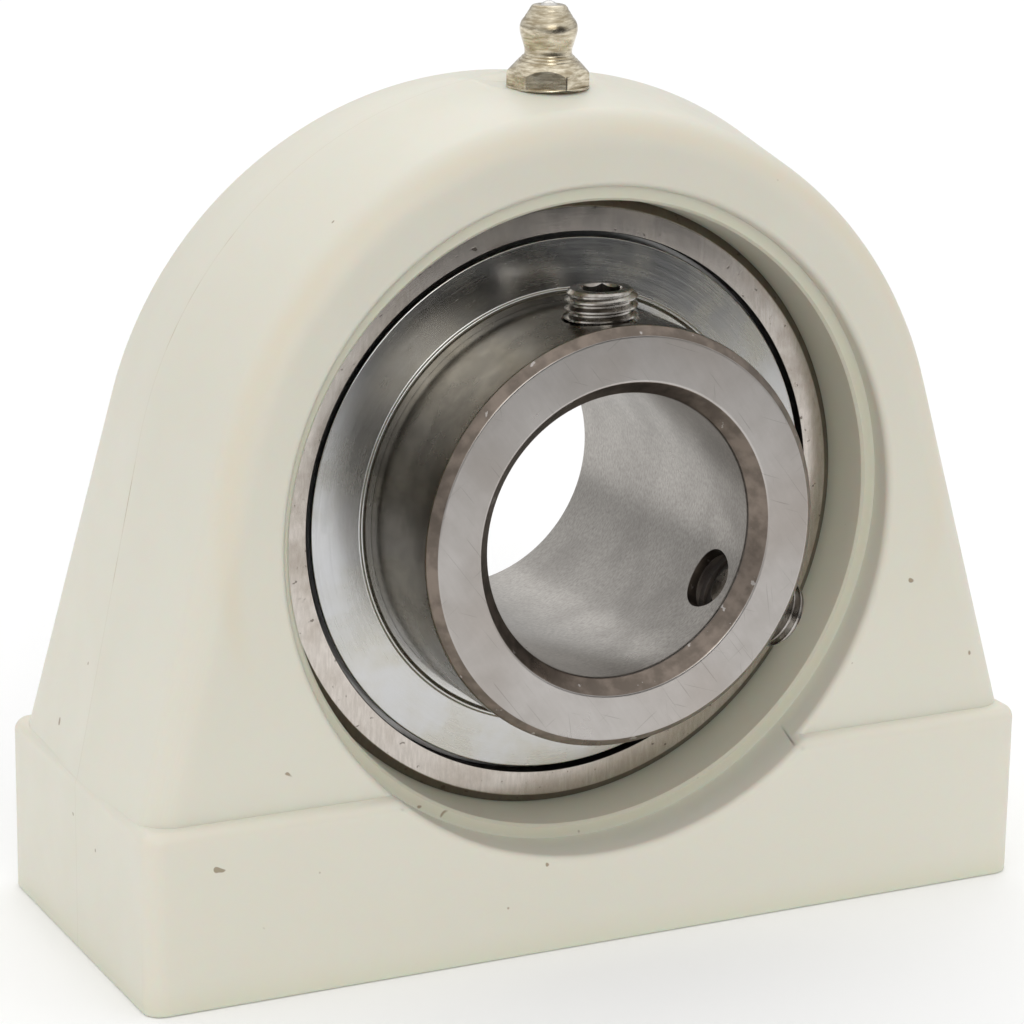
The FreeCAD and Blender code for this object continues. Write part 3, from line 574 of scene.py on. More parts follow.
class Graph(Nodes):
    """The node tree of one material, with a short call for each kind of node that the finishes use."""

    def __init__(self, name: str) -> None:
        """Start a material.

        Args:
            name: The material's name.
        """
        self.material = bpy.data.materials.new(name)
        self.material.use_nodes = True
        super().__init__(self.material.node_tree)
        self.shader = self.tree.nodes["Principled BSDF"]
        self.place = self.add("ShaderNodeTexCoord").outputs["Object"]

    def bind(self, across: object, along: object, up: object) -> Socket:
        """A vector from three parts.

        Args:
            across: Its first part.
            along: Its second part.
            up: Its third part.

        Returns:
            The vector.
        """
        node = self.add("ShaderNodeCombineXYZ")
        for socket, value in zip(node.inputs, (across, along, up)):
            self.feed(socket, value)
        return node.outputs[0]

    def stretch(self, vector: Socket, scale: Sequence[float]) -> Socket:
        """A vector scaled along its three parts.

        Args:
            vector: The vector.
            scale: Its three scales.

        Returns:
            The scaled vector.
        """
        node = self.add("ShaderNodeMapping")
        self.feed(node.inputs["Vector"], vector)
        node.inputs["Scale"].default_value = scale
        return node.outputs[0]

    def turned(self, vector: Socket, degrees: float) -> Socket:
        """A vector turned about the shaft's direction.

        Args:
            vector: The vector.
            degrees: The angle.

        Returns:
            The turned vector.
        """
        node = self.add("ShaderNodeMapping")
        self.feed(node.inputs["Vector"], vector)
        node.inputs["Rotation"].default_value = (0.0, math.radians(degrees), 0.0)
        return node.outputs[0]

    def strokes(self, degrees: float, scale: Sequence[float], rare: float) -> Socket:
        """Fine straight scratches in one direction of the ring's face.

        Args:
            degrees: Their direction about the shaft.
            scale: Features per metre across, along the shaft and along the stroke.
            rare: How rare they are, from 0 to 1.

        Returns:
            1 on a scratch, 0 off it.
        """
        where = self.stretch(self.turned(self.place, degrees), scale)
        return self.grade(self.cloud(1.0, 1.0, 0.4, where), rare, rare + 0.035)

    def cloud(
        self, scale: float, detail: float = 3.0, roughness: float = 0.55, where: Socket | None = None
    ) -> Socket:
        """A noise pattern.

        Args:
            scale: Features per metre.
            detail: Finer layers.
            roughness: How strong the finer layers are.
            where: The vector that it reads, object coordinates if none is given.

        Returns:
            The pattern, from 0 to 1.
        """
        node = self.add("ShaderNodeTexNoise")
        self.feed(node.inputs["Vector"], where or self.place)
        node.inputs["Scale"].default_value = scale
        node.inputs["Detail"].default_value = detail
        node.inputs["Roughness"].default_value = roughness
        return node.outputs["Fac"]

    def blend(self, share: object, first: object, second: object) -> Socket:
        """Two colours mixed.

        Args:
            share: How much of the second.
            first: A colour or socket.
            second: A colour or socket.

        Returns:
            The colour.
        """
        node = self.add("ShaderNodeMix", data_type="RGBA")
        self.feed(node.inputs["Factor"], share)
        self.feed(node.inputs[6], first)
        self.feed(node.inputs[7], second)
        return node.outputs[2]

    def raise_by(self, height: Socket, depth: float, below: Socket | None = None) -> Socket:
        """A bump.

        Args:
            height: The pattern that stands up.
            depth: How high it stands, in millimetres.
            below: Another bump that it lies on.

        Returns:
            The normal.
        """
        node = self.add("ShaderNodeBump")
        node.inputs["Distance"].default_value = depth * MM
        node.inputs["Strength"].default_value = 1.0
        self.feed(node.inputs["Height"], height)
        if below:
            self.feed(node.inputs["Normal"], below)
        return node.outputs[0]

    def radius_about_shaft(self) -> tuple[Socket, Socket, Socket]:
        """Distance from the shaft's axis, place along it and angle about it, in metres and radians.

        Returns:
            The three values.
        """
        across, along, up = self.split(self.place)
        rise = self.sums("SUBTRACT", up, SHAFT_HEIGHT * MM)
        radius = self.sums("SQRT", self.sums("ADD", self.both(across, across), self.both(rise, rise)))
        return radius, along, self.sums("ARCTAN2", rise, across)

    def finish(
        self, colour: object, roughness: object, metal: float, normal: object = None, **plain: float
    ) -> Material:
        """Give the shader its colour, roughness and bump.

        Args:
            colour: Base colour.
            roughness: Roughness.
            metal: 1 for bare metal.
            normal: The bump, if there is one.
            plain: Other inputs of the shader by name, with _ for a space, as plain numbers.

        Returns:
            The material.
        """
        self.feed(self.shader.inputs["Base Color"], colour)
        self.feed(self.shader.inputs["Roughness"], roughness)
        self.shader.inputs["Metallic"].default_value = metal
        if normal:
            self.feed(self.shader.inputs["Normal"], normal)
        for name, value in plain.items():
            self.shader.inputs[name.replace("_", " ")].default_value = value
        return self.material


@dataclass(frozen=True)
class IvoryPlastic:
    """Moulded ivory thermoplastic, satin, with painted yellow-green shade in the dish and along the foot's
    bottom, and painted warm shade along the arch's edges.
    """

    ivory: Colour = (0.725, 0.703, 0.60)
    # painted shade: this darker yellow-green stands in for the shade in the dish and along the foot's bottom
    painted_shade: Colour = (0.67, 0.645, 0.48)
    cloudy: Colour = (0.755, 0.74, 0.65)
    # painted shade: this warm tone stands in for the shade along the arch's rounded edges
    warm: Colour = (0.74, 0.64, 0.46)
    parting: Colour = (0.42, 0.33, 0.2)
    speck: Colour = (0.36, 0.30, 0.21)

    def make(self) -> Material:
        """Build the nodes of this finish.

        Returns:
            The material.
        """
        graph = Graph("ivory_plastic")
        radius, along, _ = graph.radius_about_shaft()
        _, _, up = graph.split(graph.place)
        depth = graph.sums("ABSOLUTE", along)
        cloud = graph.cloud(28.0, 4.0)
        colour = graph.blend(graph.grade(cloud, 0.3, 0.7, 0.0, 0.35), self.ivory, self.cloudy)
        # painted shade: the dish round the seat is tinted darker and yellow-green, where shade falls in the
        # recess
        dish_shade_mask = graph.both(graph.grade(radius, 0.0372, 0.0364), graph.grade(depth, 0.0205, 0.0178))
        colour = graph.blend(graph.both(dish_shade_mask, 0.4), colour, self.painted_shade)
        # painted shade: a patchy warm tint on the arch's rounded edges near its faces
        near_edge = graph.both(graph.grade(radius, 0.0415, 0.0435), graph.grade(radius, 0.0455, 0.0437))
        near_face = graph.both(graph.grade(depth, 0.0135, 0.0165), graph.grade(up, 0.030, 0.045))
        patchy = graph.grade(cloud, 0.35, 0.6, 0.15, 0.4)
        painted_edge_shade = graph.both(graph.both(near_edge, near_face), patchy)
        colour = graph.blend(painted_edge_shade, colour, self.warm)
        # painted shade: darker towards the floor over the foot's bottom 4 mm
        low = graph.grade(up, 0.004, 0.0)
        colour = graph.blend(graph.both(low, 0.35), colour, self.painted_shade)
        parting = graph.both(graph.grade(depth, 0.00013, 0.00005), graph.grade(radius, 0.044, 0.0445))
        dashes = graph.grade(graph.cloud(90.0, 3.0), 0.55, 0.68, 0.12, 0.7)
        colour = graph.blend(graph.both(parting, dashes), colour, self.parting)
        specks = graph.grade(graph.cloud(420.0, 1.0, 0.4), 0.795, 0.815)
        colour = graph.blend(specks, colour, self.speck)
        roughness = graph.grade(graph.cloud(160.0, 5.0), 0.3, 0.7, 0.36, 0.5)
        bump = graph.raise_by(graph.cloud(1400.0, 3.0), 0.006)
        bump = graph.raise_by(graph.cloud(60.0, 2.0), 0.05, bump)
        return graph.finish(
            colour, roughness, 0.0, bump, IOR=1.49, Subsurface_Weight=0.3, Subsurface_Scale=0.003
        )


@dataclass(frozen=True)
class OuterRingSteel:
    """The outer ring's steel: a brownish ground land with pits and stains, dark bevels, and painted shade
    inside its mouth.
    """

    bright: Colour = (0.66, 0.61, 0.56)
    dark: Colour = (0.53, 0.485, 0.44)
    stain: Colour = (0.42, 0.36, 0.30)
    bevel: Colour = (0.13, 0.10, 0.075)
    pit: Colour = (0.08, 0.06, 0.045)
    # painted shade: near black stands in for the shadow inside the ring's mouth
    mouth: Colour = (0.02, 0.018, 0.016)

    def make(self) -> Material:
        """Build the nodes of this finish.

        Returns:
            The material.
        """
        graph = Graph("outer_ring_steel")
        radius, along, angle = graph.radius_about_shaft()
        around = graph.bind(graph.both(radius, 3200.0), graph.both(along, 3200.0), graph.both(angle, 5.0))
        rings = graph.cloud(1.0, 3.0, 0.6, around)
        patches = graph.cloud(140.0, 5.0, 0.6)
        pits = graph.grade(graph.cloud(1100.0, 2.0), 0.66, 0.71)
        grain = graph.cloud(1.0, 4.0, 0.65, graph.stretch(graph.place, (2600.0, 400.0, 500.0)))
        colour = graph.blend(graph.grade(grain, 0.3, 0.7), self.dark, self.bright)
        colour = graph.blend(graph.grade(patches, 0.42, 0.72, 0.0, 0.6), colour, self.stain)
        colour = graph.blend(graph.both(pits, 0.7), colour, self.pit)
        colour = graph.blend(graph.both(graph.grade(radius, 0.03375, 0.0339), 0.75), colour, self.bevel)
        # painted shade: the mouth, shoulders and track edges inside 31.1 mm radius are painted near black
        mouth = graph.grade(radius, 0.03115, 0.03105)
        colour = graph.blend(mouth, colour, self.mouth)
        roughness = graph.sums("ADD", graph.grade(patches, 0.35, 0.75, 0.18, 0.28), graph.both(mouth, 0.35))
        bump = graph.raise_by(rings, 0.0012)
        bump = graph.raise_by(pits, -0.003, bump)
        return graph.finish(colour, roughness, 1.0, bump)


@dataclass(frozen=True)
class InnerRingSteel:
    """The inner ring's steel: a grey ground face, worn brown bevels, an olive skin and a honed bore."""

    face: Colour = (0.50, 0.475, 0.455)
    clouded: Colour = (0.41, 0.38, 0.355)
    bore: Colour = (0.47, 0.447, 0.415)
    bore_dark: Colour = (0.27, 0.253, 0.235)
    warm: Colour = (0.50, 0.43, 0.38)
    brown: Colour = (0.13, 0.105, 0.085)
    brown_light: Colour = (0.21, 0.17, 0.14)
    skin: Colour = (0.115, 0.102, 0.08)
    skin_light: Colour = (0.19, 0.172, 0.14)
    scratch: Colour = (0.16, 0.14, 0.12)

    def make(self) -> Material:
        """Build the nodes of this finish.

        Returns:
            The material.
        """
        graph = Graph("inner_ring_steel")
        radius, along, angle = graph.radius_about_shaft()
        patches = graph.cloud(90.0, 5.0, 0.62)
        slanted = graph.stretch(graph.turned(graph.place, 35.0), (1500.0, 1500.0, 260.0))
        grain = graph.cloud(1.0, 3.0, 0.6, slanted)
        colour = graph.blend(graph.grade(patches, 0.35, 0.75), self.face, self.clouded)
        tint = graph.grade(graph.cloud(45.0, 2.0), 0.45, 0.7, 0.0, 0.35)
        colour = graph.blend(tint, colour, self.warm)
        colour = graph.blend(graph.grade(grain, 0.3, 0.7, 0.0, 0.25), colour, self.clouded)
        lines = graph.strokes(38.0, (5200.0, 100.0, 95.0), 0.72)
        for degrees, rare in ((-52.0, 0.75), (71.0, 0.74), (8.0, 0.77)):
            lines = graph.sums("MAXIMUM", lines, graph.strokes(degrees, (4600.0, 100.0, 120.0), rare))
        on_face = graph.grade(radius, 0.0159, 0.0166)
        lines = graph.both(lines, on_face)
        colour = graph.blend(graph.both(lines, 0.3), colour, self.scratch)
        honing = graph.bind(graph.both(radius, 1000.0), graph.both(along, 4400.0), graph.both(angle, 30.0))
        flecks = graph.cloud(1.0, 5.0, 0.72, honing)
        bore = graph.blend(graph.grade(flecks, 0.25, 0.75), self.bore_dark, self.bore)
        bore = graph.blend(graph.grade(patches, 0.4, 0.7, 0.0, 0.5), bore, self.bore_dark)
        in_bore = graph.grade(radius, 0.01600, 0.01590)
        colour = graph.blend(in_bore, colour, bore)
        chips = graph.grade(graph.cloud(700.0, 3.0, 0.6), 0.66, 0.70)
        worn = graph.sums("SUBTRACT", 1.0, graph.both(chips, 0.8))
        outer_bevel = graph.both(graph.grade(radius, 0.02248, 0.02256), graph.grade(radius, 0.02352, 0.02344))
        bore_bevel = graph.both(graph.grade(radius, 0.01590, 0.01600), graph.grade(radius, 0.01752, 0.01746))
        bevels = graph.both(graph.sums("MAXIMUM", outer_bevel, bore_bevel), worn)
        mottle = graph.blend(graph.grade(graph.cloud(500.0, 3.0), 0.35, 0.65), self.brown, self.brown_light)
        colour = graph.blend(graph.both(bevels, 0.95), colour, mottle)
        outside = graph.grade(radius, 0.02342, 0.02348)
        skin = graph.blend(graph.grade(graph.cloud(200.0, 4.0, 0.6), 0.35, 0.7), self.skin, self.skin_light)
        colour = graph.blend(outside, colour, skin)
        roughness = graph.sums("ADD", graph.grade(patches, 0.3, 0.7, 0.27, 0.36), graph.both(outside, -0.06))
        bump = graph.raise_by(graph.both(flecks, in_bore), 0.0012)
        bump = graph.raise_by(lines, -0.0015, bump)
        bump = graph.raise_by(chips, -0.003, bump)
        bump = graph.raise_by(graph.cloud(1800.0, 2.0), 0.0012, bump)
        return graph.finish(colour, roughness, 1.0, bump)


@dataclass(frozen=True)
class BrightSheet:
    """Pressed, plated sheet with a satin gloss, a faint blue and yellow tint and rubbed marks."""

    name: str
    silver: Colour
    tint: Colour
    roughness: float
    blue: Colour = (0.50, 0.52, 0.56)
    rubbed: Colour = (0.35, 0.3, 0.25)

    def make(self) -> Material:
        """Build the nodes of this finish.

        Returns:
            The material.
        """
        graph = Graph(self.name)
        radius, along, angle = graph.radius_about_shaft()
        around = graph.bind(graph.both(radius, 5200.0), graph.both(along, 5200.0), graph.both(angle, 3.0))
        rings = graph.cloud(1.0, 3.0, 0.6, around)
        patches = graph.cloud(120.0, 4.0, 0.6)
        colour = graph.blend(graph.grade(patches, 0.35, 0.7), self.silver, self.tint)
        colour = graph.blend(graph.grade(graph.cloud(60.0, 2.0), 0.5, 0.7, 0.0, 0.3), colour, self.blue)
        marks = graph.grade(graph.cloud(900.0, 3.0), 0.68, 0.78, 0.0, 0.45)
        colour = graph.blend(marks, colour, self.rubbed)
        along_rings = graph.grade(rings, 0.3, 0.7, self.roughness, self.roughness + 0.05)
        roughness = graph.sums("ADD", along_rings, graph.grade(patches, 0.4, 0.7, 0.0, 0.06))
        bump = graph.raise_by(rings, 0.00015)
        bump = graph.raise_by(graph.cloud(140.0, 2.0), 0.006, bump)
        return graph.finish(colour, roughness, 1.0, bump)


@dataclass(frozen=True)
class SmallSteel:
    """Machined steel of the small pieces: fine tool marks along one direction, dark smudges and wear."""

    name: str
    bright: Colour
    dark: Colour
    roughness: float
    marks: Triple
    depth: float = 0.002

    def make(self) -> Material:
        """Build the nodes of this finish.

        Returns:
            The material.
        """
        graph = Graph(self.name)
        marks = graph.cloud(1.0, 3.0, 0.6, graph.stretch(graph.place, self.marks))
        smudges = graph.cloud(350.0, 4.0, 0.6)
        colour = graph.blend(graph.grade(marks, 0.3, 0.7), self.dark, self.bright)
        colour = graph.blend(graph.grade(smudges, 0.5, 0.78, 0.0, 0.55), colour, self.dark)
        roughness = graph.grade(smudges, 0.3, 0.75, self.roughness, self.roughness + 0.16)
        return graph.finish(colour, roughness, 1.0, graph.raise_by(marks, self.depth))


@dataclass(frozen=True)
class SealRubber:
    """Black seal rubber, matt, with a fine moulded grain and grease-dark patches."""

    black: Colour = (0.018, 0.018, 0.019)
    greasy: Colour = (0.035, 0.033, 0.03)

    def make(self) -> Material:
        """Build the nodes of this finish.

        Returns:
            The material.
        """
        graph = Graph("seal_rubber")
        grain = graph.cloud(2400.0, 3.0)
        patches = graph.cloud(220.0, 4.0)
        colour = graph.blend(graph.grade(patches, 0.4, 0.7), self.black, self.greasy)
        roughness = graph.grade(patches, 0.35, 0.7, 0.45, 0.75)
        return graph.finish(colour, roughness, 0.0, graph.raise_by(grain, 0.008))


@dataclass(frozen=True)
class StudioPaper:
    """The pale seamless paper that the object stands on."""

    tone: Colour = (0.985, 0.985, 0.985)
    shade: Colour = (0.975, 0.975, 0.975)

    def make(self) -> Material:
        """Build the nodes of this finish.

        Returns:
            The material.
        """
        graph = Graph("studio_paper")
        colour = graph.blend(graph.cloud(3.0, 2.0), self.tone, self.shade)
        return graph.finish(colour, 0.9, 0.0, graph.raise_by(graph.cloud(900.0, 2.0), 0.01))


FLINGER_SHEET = BrightSheet("flinger_sheet", (0.62, 0.62, 0.62), (0.58, 0.56, 0.50), 0.2)
CAGE_SHEET = BrightSheet("cage_sheet", (0.58, 0.57, 0.55), (0.48, 0.46, 0.42), 0.3)
CARRIER_SHEET = BrightSheet("carrier_sheet", (0.5, 0.5, 0.49), (0.42, 0.4, 0.38), 0.35)
SCREW_STEEL = SmallSteel(
    "set_screw_steel", (0.52, 0.50, 0.47), (0.26, 0.235, 0.21), 0.17, (500.0, 500.0, 500.0), 0.0008
)
TURNED_BRASS = SmallSteel("turned_brass", (0.78, 0.60, 0.30), (0.45, 0.31, 0.13), 0.28, (60.0, 60.0, 4200.0))
NIPPLE_ZINC = SmallSteel(
    "nipple_zinc", (0.77, 0.70, 0.55), (0.36, 0.30, 0.20), 0.17, (600.0, 600.0, 3200.0), 0.003
)
CHECK_BALL_STEEL = SmallSteel(
    "check_ball_steel", (0.72, 0.71, 0.68), (0.5, 0.48, 0.45), 0.1, (700.0, 700.0, 700.0)
)
SPRING_WIRE = SmallSteel("spring_wire", (0.56, 0.55, 0.54), (0.3, 0.29, 0.28), 0.3, (2400.0, 300.0, 2400.0))
BALL_STEEL = SmallSteel(
    "ball_steel", (0.76, 0.75, 0.74), (0.62, 0.61, 0.6), 0.08, (500.0, 500.0, 500.0), 0.0005
)


def dress(piece: Piece, material: Material) -> None:
    """Give a piece one material in all its slots.

    Args:
        piece: The piece.
        material: Its material.
    """
    if not piece.material_slots:
        piece.data.materials.append(material)
    for slot in piece.material_slots:
        slot.material = material


def hand_over(piece: Piece, body: str, node: str, material: Material) -> None:
    """Let a finished piece stand for a node of the frame.

    Args:
        piece: The piece.
        body: The body that it rides on.
        node: The node that it replaces.
        material: Its material.
    """
    dress(piece, material)
    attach(piece, body)
    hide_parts(node)
    LOG.info("%s: %d faces", piece.name, len(piece.data.polygons))


@dataclass
class Housing:
    """The moulded housing: a foot, an arch on it, the dish round the seat, and the nipple's spot-face."""

    foot_length: float = 108.5
    foot_depth: float = 44.6
    foot_height: float = 20.5
    foot_corner: float = 2.2
    foot_top_round: float = 1.4
    foot_sole_round: float = 0.35
    arch_radius: float = 47.3
    front_draft: float = 3.7
    rear_draft: float = 3.0
    leg_half_width: float = 53.9
    leg_draft: float = 0.6
    face_setback: float = 1.8
    face_lean: float = 4.4
    edge_round: float = 3.3
    root: float = 1.2
    collar_half_depth: float = 15.8
    collar_mouth: float = 35.4
    dish_radius: float = 37.0
    dish_round: float = 0.8
    seat_radius: float = 36.03
    seat_edge: float = 9.2
    slot_half_width: float = 36.3
    slot_half_height: float = 10.3
    spot_face: float = 93.75
    spot_bowl: tuple[Pair, ...] = (
        (0.0, 4.9), (0.07, 5.6), (0.2, 6.4), (0.4, 7.4), (0.65, 8.6), (1.2, 11.0), (6.0, 14.0)
    )
    nipple_place: float = -4.4
    nipple_hole: float = 3.215
    nipple_hole_depth: float = 5.69
    passage: float = 1.1
    passage_foot: float = SHAFT_HEIGHT + 16.0

    @property
    def face_half_depth(self) -> float:
        """Where the arch's faces stand on the foot."""
        return self.foot_depth / 2 - self.face_setback

    @property
    def slope(self) -> float:
        """How much the arch's faces lean for each millimetre up."""
        return self.face_lean / (SHAFT_HEIGHT + self.arch_radius - self.foot_height)

    def leg(self, radius: float, half_width: float) -> Pair:
        """The lean of a leg that touches the arch, in radians, and its half width at the root.

        Args:
            radius: The arch's radius.
            half_width: The legs' half width on the foot.

        Returns:
            The lean and the half width.
        """
        below = SHAFT_HEIGHT - self.foot_height
        lean = math.acos(radius / math.hypot(half_width, below)) - math.atan2(below, half_width)
        return lean, half_width + self.root * math.tan(lean)

    def draw_arch(self, along: float, radius: float, half_width: float) -> None:
        """Draw one section of the arch from the selected vertex, which lies at its left root.

        Args:
            along: Where the section lies.
            radius: The arch's radius there.
            half_width: The legs' half width on the foot there.
        """
        lean, root_half_width = self.leg(radius, half_width)
        tangent_across = radius * math.cos(lean)
        tangent_up = SHAFT_HEIGHT + radius * math.sin(lean)
        bottom = self.foot_height - self.root
        Bench.draw_to(millimetres(root_half_width, along, bottom))
        Bench.draw_to(millimetres(tangent_across, along, tangent_up))
        bpy.ops.mesh.spin(
            steps=120, angle=math.pi - 2 * lean, center=millimetres(0, along, SHAFT_HEIGHT), axis=(0, 1, 0)
        )
        Bench.draw_to(millimetres(-root_half_width, along, bottom))

    def root_corner(self, along: float, radius: float, half_width: float) -> Vector:
        """The left root of a section of the arch, in metres."""
        return millimetres(-self.leg(radius, half_width)[1], along, self.foot_height - self.root)

    def on_face(self, place: Vector) -> bool:
        """Whether a place lies on one of the arch's leaning faces."""
        half_depth = self.face_half_depth * MM - self.slope * (place.z - self.foot_height * MM)
        return abs(abs(place.y) - half_depth) < MM / 500

    def arch(self) -> Piece:
        """The arch: three sections bridged, its faces cut to their lean and its edges rounded.

        Returns:
            The arch.
        """
        half = self.foot_depth / 2
        end_half_width = self.leg_half_width - self.leg_draft
        sections = (
            (-half, self.arch_radius - self.front_draft, end_half_width),
            (0.0, self.arch_radius, self.leg_half_width),
            (half, self.arch_radius - self.rear_draft, end_half_width),
        )
        parts = []
        for number, section in enumerate(sections):
            parts.append(Bench.point(f"arch_section_{number}", self.root_corner(*section)))
            self.draw_arch(*section)
            Bench.tidy_up()
            Bench.clear()
        Bench.take(parts[0])
        for part in parts[1:]:
            part.select_set(True)
        bpy.ops.object.join()
        arch = bpy.context.object
        arch.name = "housing_moulded"
        arch.data.name = "housing_moulded"
        Bench.edit(arch)
        for low, high in ((-half, 0.0), (0.0, half)):
            middle, reach = (low + high) / 2 * MM, (high - low) / 2 * MM + HAIR
            Bench.pick_edges(
                lambda a, b: max(abs(a.y - middle), abs(b.y - middle)) < reach and abs(a.y - b.y) < HAIR
            )
            bpy.ops.mesh.bridge_edge_loops()
        for end in (-half, half):
            Bench.pick_edges(lambda a, b: max(abs(a.y - end * MM), abs(b.y - end * MM)) < HAIR)
            bpy.ops.mesh.edge_face_add()
        Bench.tidy_up()
        for side in (-1.0, 1.0):
            bpy.ops.mesh.select_all(action="SELECT")
            bpy.ops.mesh.bisect(
                plane_co=millimetres(0, self.face_half_depth * side, self.foot_height),
                plane_no=Vector((0, side, self.slope)).normalized(),
                use_fill=True,
                clear_outer=True,
                threshold=MERGE_DISTANCE,
            )
        Bench.tidy_up()
        base = (self.foot_height - self.root) * MM
        Bench.pick_edges(lambda a, b: self.on_face(a) and self.on_face(b) and max(a.z, b.z) > base + MM / 10)
        Bench.round_off(self.edge_round, 10)
        Bench.clear()
        return arch

    def foot(self) -> Piece:
        """The foot: a block with rounded upright corners and a rounded top.

        Returns:
            The foot.
        """
        half_length, half_depth = self.foot_length / 2, self.foot_depth / 2
        low = millimetres(-half_length, -half_depth, 0)
        foot = Bench.block("foot", low, millimetres(half_length, half_depth, self.foot_height))
        Bench.edit(foot)
        Bench.pick_edges(lambda a, b: abs(a.z - b.z) > MM)
        Bench.round_off(self.foot_corner, 8)
        top = self.foot_height * MM
        Bench.pick_edges(lambda a, b: min(a.z, b.z) > top - HAIR)
        Bench.round_off(self.foot_top_round, 6)
        Bench.pick_edges(lambda a, b: max(a.z, b.z) < HAIR)
        Bench.round_off(self.foot_sole_round, 2)
        Bench.clear()
        return foot

    def dish(self, name: str, side: int) -> Piece:
        """The tool that sinks the dish on one side.

        Args:
            name: The tool's name.
            side: -1 in front, 1 at the rear.

        Returns:
            The tool.
        """
        return SHAFT.turn(
            name,
            [
                (self.collar_half_depth * side, 0.0), (self.collar_half_depth * side, self.dish_radius),
                (self.foot_depth * side, self.dish_radius), (self.foot_depth * side, 0.0),
            ],
            FINE,
        )

    def sink_dish(self, piece: Piece) -> None:
        """Take the dish from a piece on both sides and round its rim.

        Args:
            piece: The arch or the foot.
        """
        for side in (-1, 1):
            Bench.use(piece, self.dish("dish_tool", side), Cut.TAKE)
        Bench.edit(piece)
        Bench.tidy_up()

        def on_rim(place: Vector) -> bool:
            """Whether a place lies on the dish's wall, off the collar.

            Args:
                place: The place, in metres.

            Returns:
                Whether it does.
            """
            away = math.hypot(place.x, place.z - SHAFT_HEIGHT * MM)
            off_collar = abs(place.y) > (self.collar_half_depth + 0.05) * MM
            return abs(away - self.dish_radius * MM) < 0.02 * MM and off_collar

        Bench.pick_edges(lambda a, b: on_rim(a) and on_rim(b))
        Bench.round_off(self.dish_round, 4)
        Bench.clear()

    def trim(self, foot: Piece) -> None:
        """Draw back the points that the rounded rim pushed past the foot's front and rear.

        Args:
            foot: The foot.
        """
        Bench.edit(foot)
        half = self.foot_depth / 2 * MM
        reach = max(abs(vertex.co.y) for vertex in Bench.shape().verts)
        if Bench.pick_points(lambda place: abs(place.y) > half + MM / 500):
            bpy.ops.transform.resize(value=(1.0, half / reach, 1.0), center_override=(0.0, 0.0, 0.0))
        Bench.clear()

    def seat_tool(self) -> Piece:
        """The tool that bores the seat and the collar's mouths.

        Returns:
            The tool.
        """
        edge_radius = math.sqrt(self.seat_radius**2 - self.seat_edge**2)
        far = self.foot_depth
        clear = self.dish_radius - 0.4
        front = [
            (-far, 0.0), (-far, clear), (-self.collar_half_depth - 0.3, clear),
            (-self.collar_half_depth, self.collar_mouth + 0.3),
            (-self.collar_half_depth + 0.3, self.collar_mouth), (-self.seat_edge, edge_radius),
        ]
        rear = [(-along, radius) for along, radius in reversed(front)]
        seat = Bow((0, 0), (self.seat_edge, edge_radius), 16)
        return SHAFT.turn("seat_tool", front + [seat] + rear[1:], FINE)

    def build(self, inserts: Sequence[Callable[[], Piece]]) -> Piece:
        """Make the housing.

        Args:
            inserts: Makers of the tools that open the pockets of the threaded inserts.

        Returns:
            The housing.
        """
        housing, foot = self.arch(), self.foot()
        self.sink_dish(housing)
        self.sink_dish(foot)
        self.trim(foot)
        Bench.use(housing, foot, Cut.JOIN)
        Bench.use(housing, self.seat_tool(), Cut.TAKE)
        slot = Bench.block(
            "slot_tool",
            millimetres(-self.slot_half_width, 0, SHAFT_HEIGHT - self.slot_half_height),
            millimetres(self.slot_half_width, self.foot_depth, SHAFT_HEIGHT + self.slot_half_height),
        )
        Bench.use(housing, slot, Cut.TAKE)
        upright = Lathe((0.0, self.nipple_place, 0.0))
        floor = self.spot_face - self.nipple_hole_depth
        spot = upright.turn(
            "spot_tool",
            [
                (self.passage_foot, 0.0), (self.passage_foot, self.passage), (floor, self.passage),
                (floor, self.nipple_hole), (self.spot_face, self.nipple_hole),
                *((self.spot_face + rise, radius) for rise, radius in self.spot_bowl),
                (self.spot_face + self.spot_bowl[-1][0], 0.0),
            ],
            ROUND,
        )
        Bench.use(housing, spot, Cut.TAKE)
        for insert in inserts:
            Bench.use(housing, insert(), Cut.TAKE)
        return Bench.shade(housing, 35.0)

    def fit(self, pockets: Sequence[Callable[[], Piece]]) -> None:
        """Make the housing, with the pockets that these tools open, and hand it over."""
        hand_over(self.build(pockets), "housing", "housing", IvoryPlastic().make())


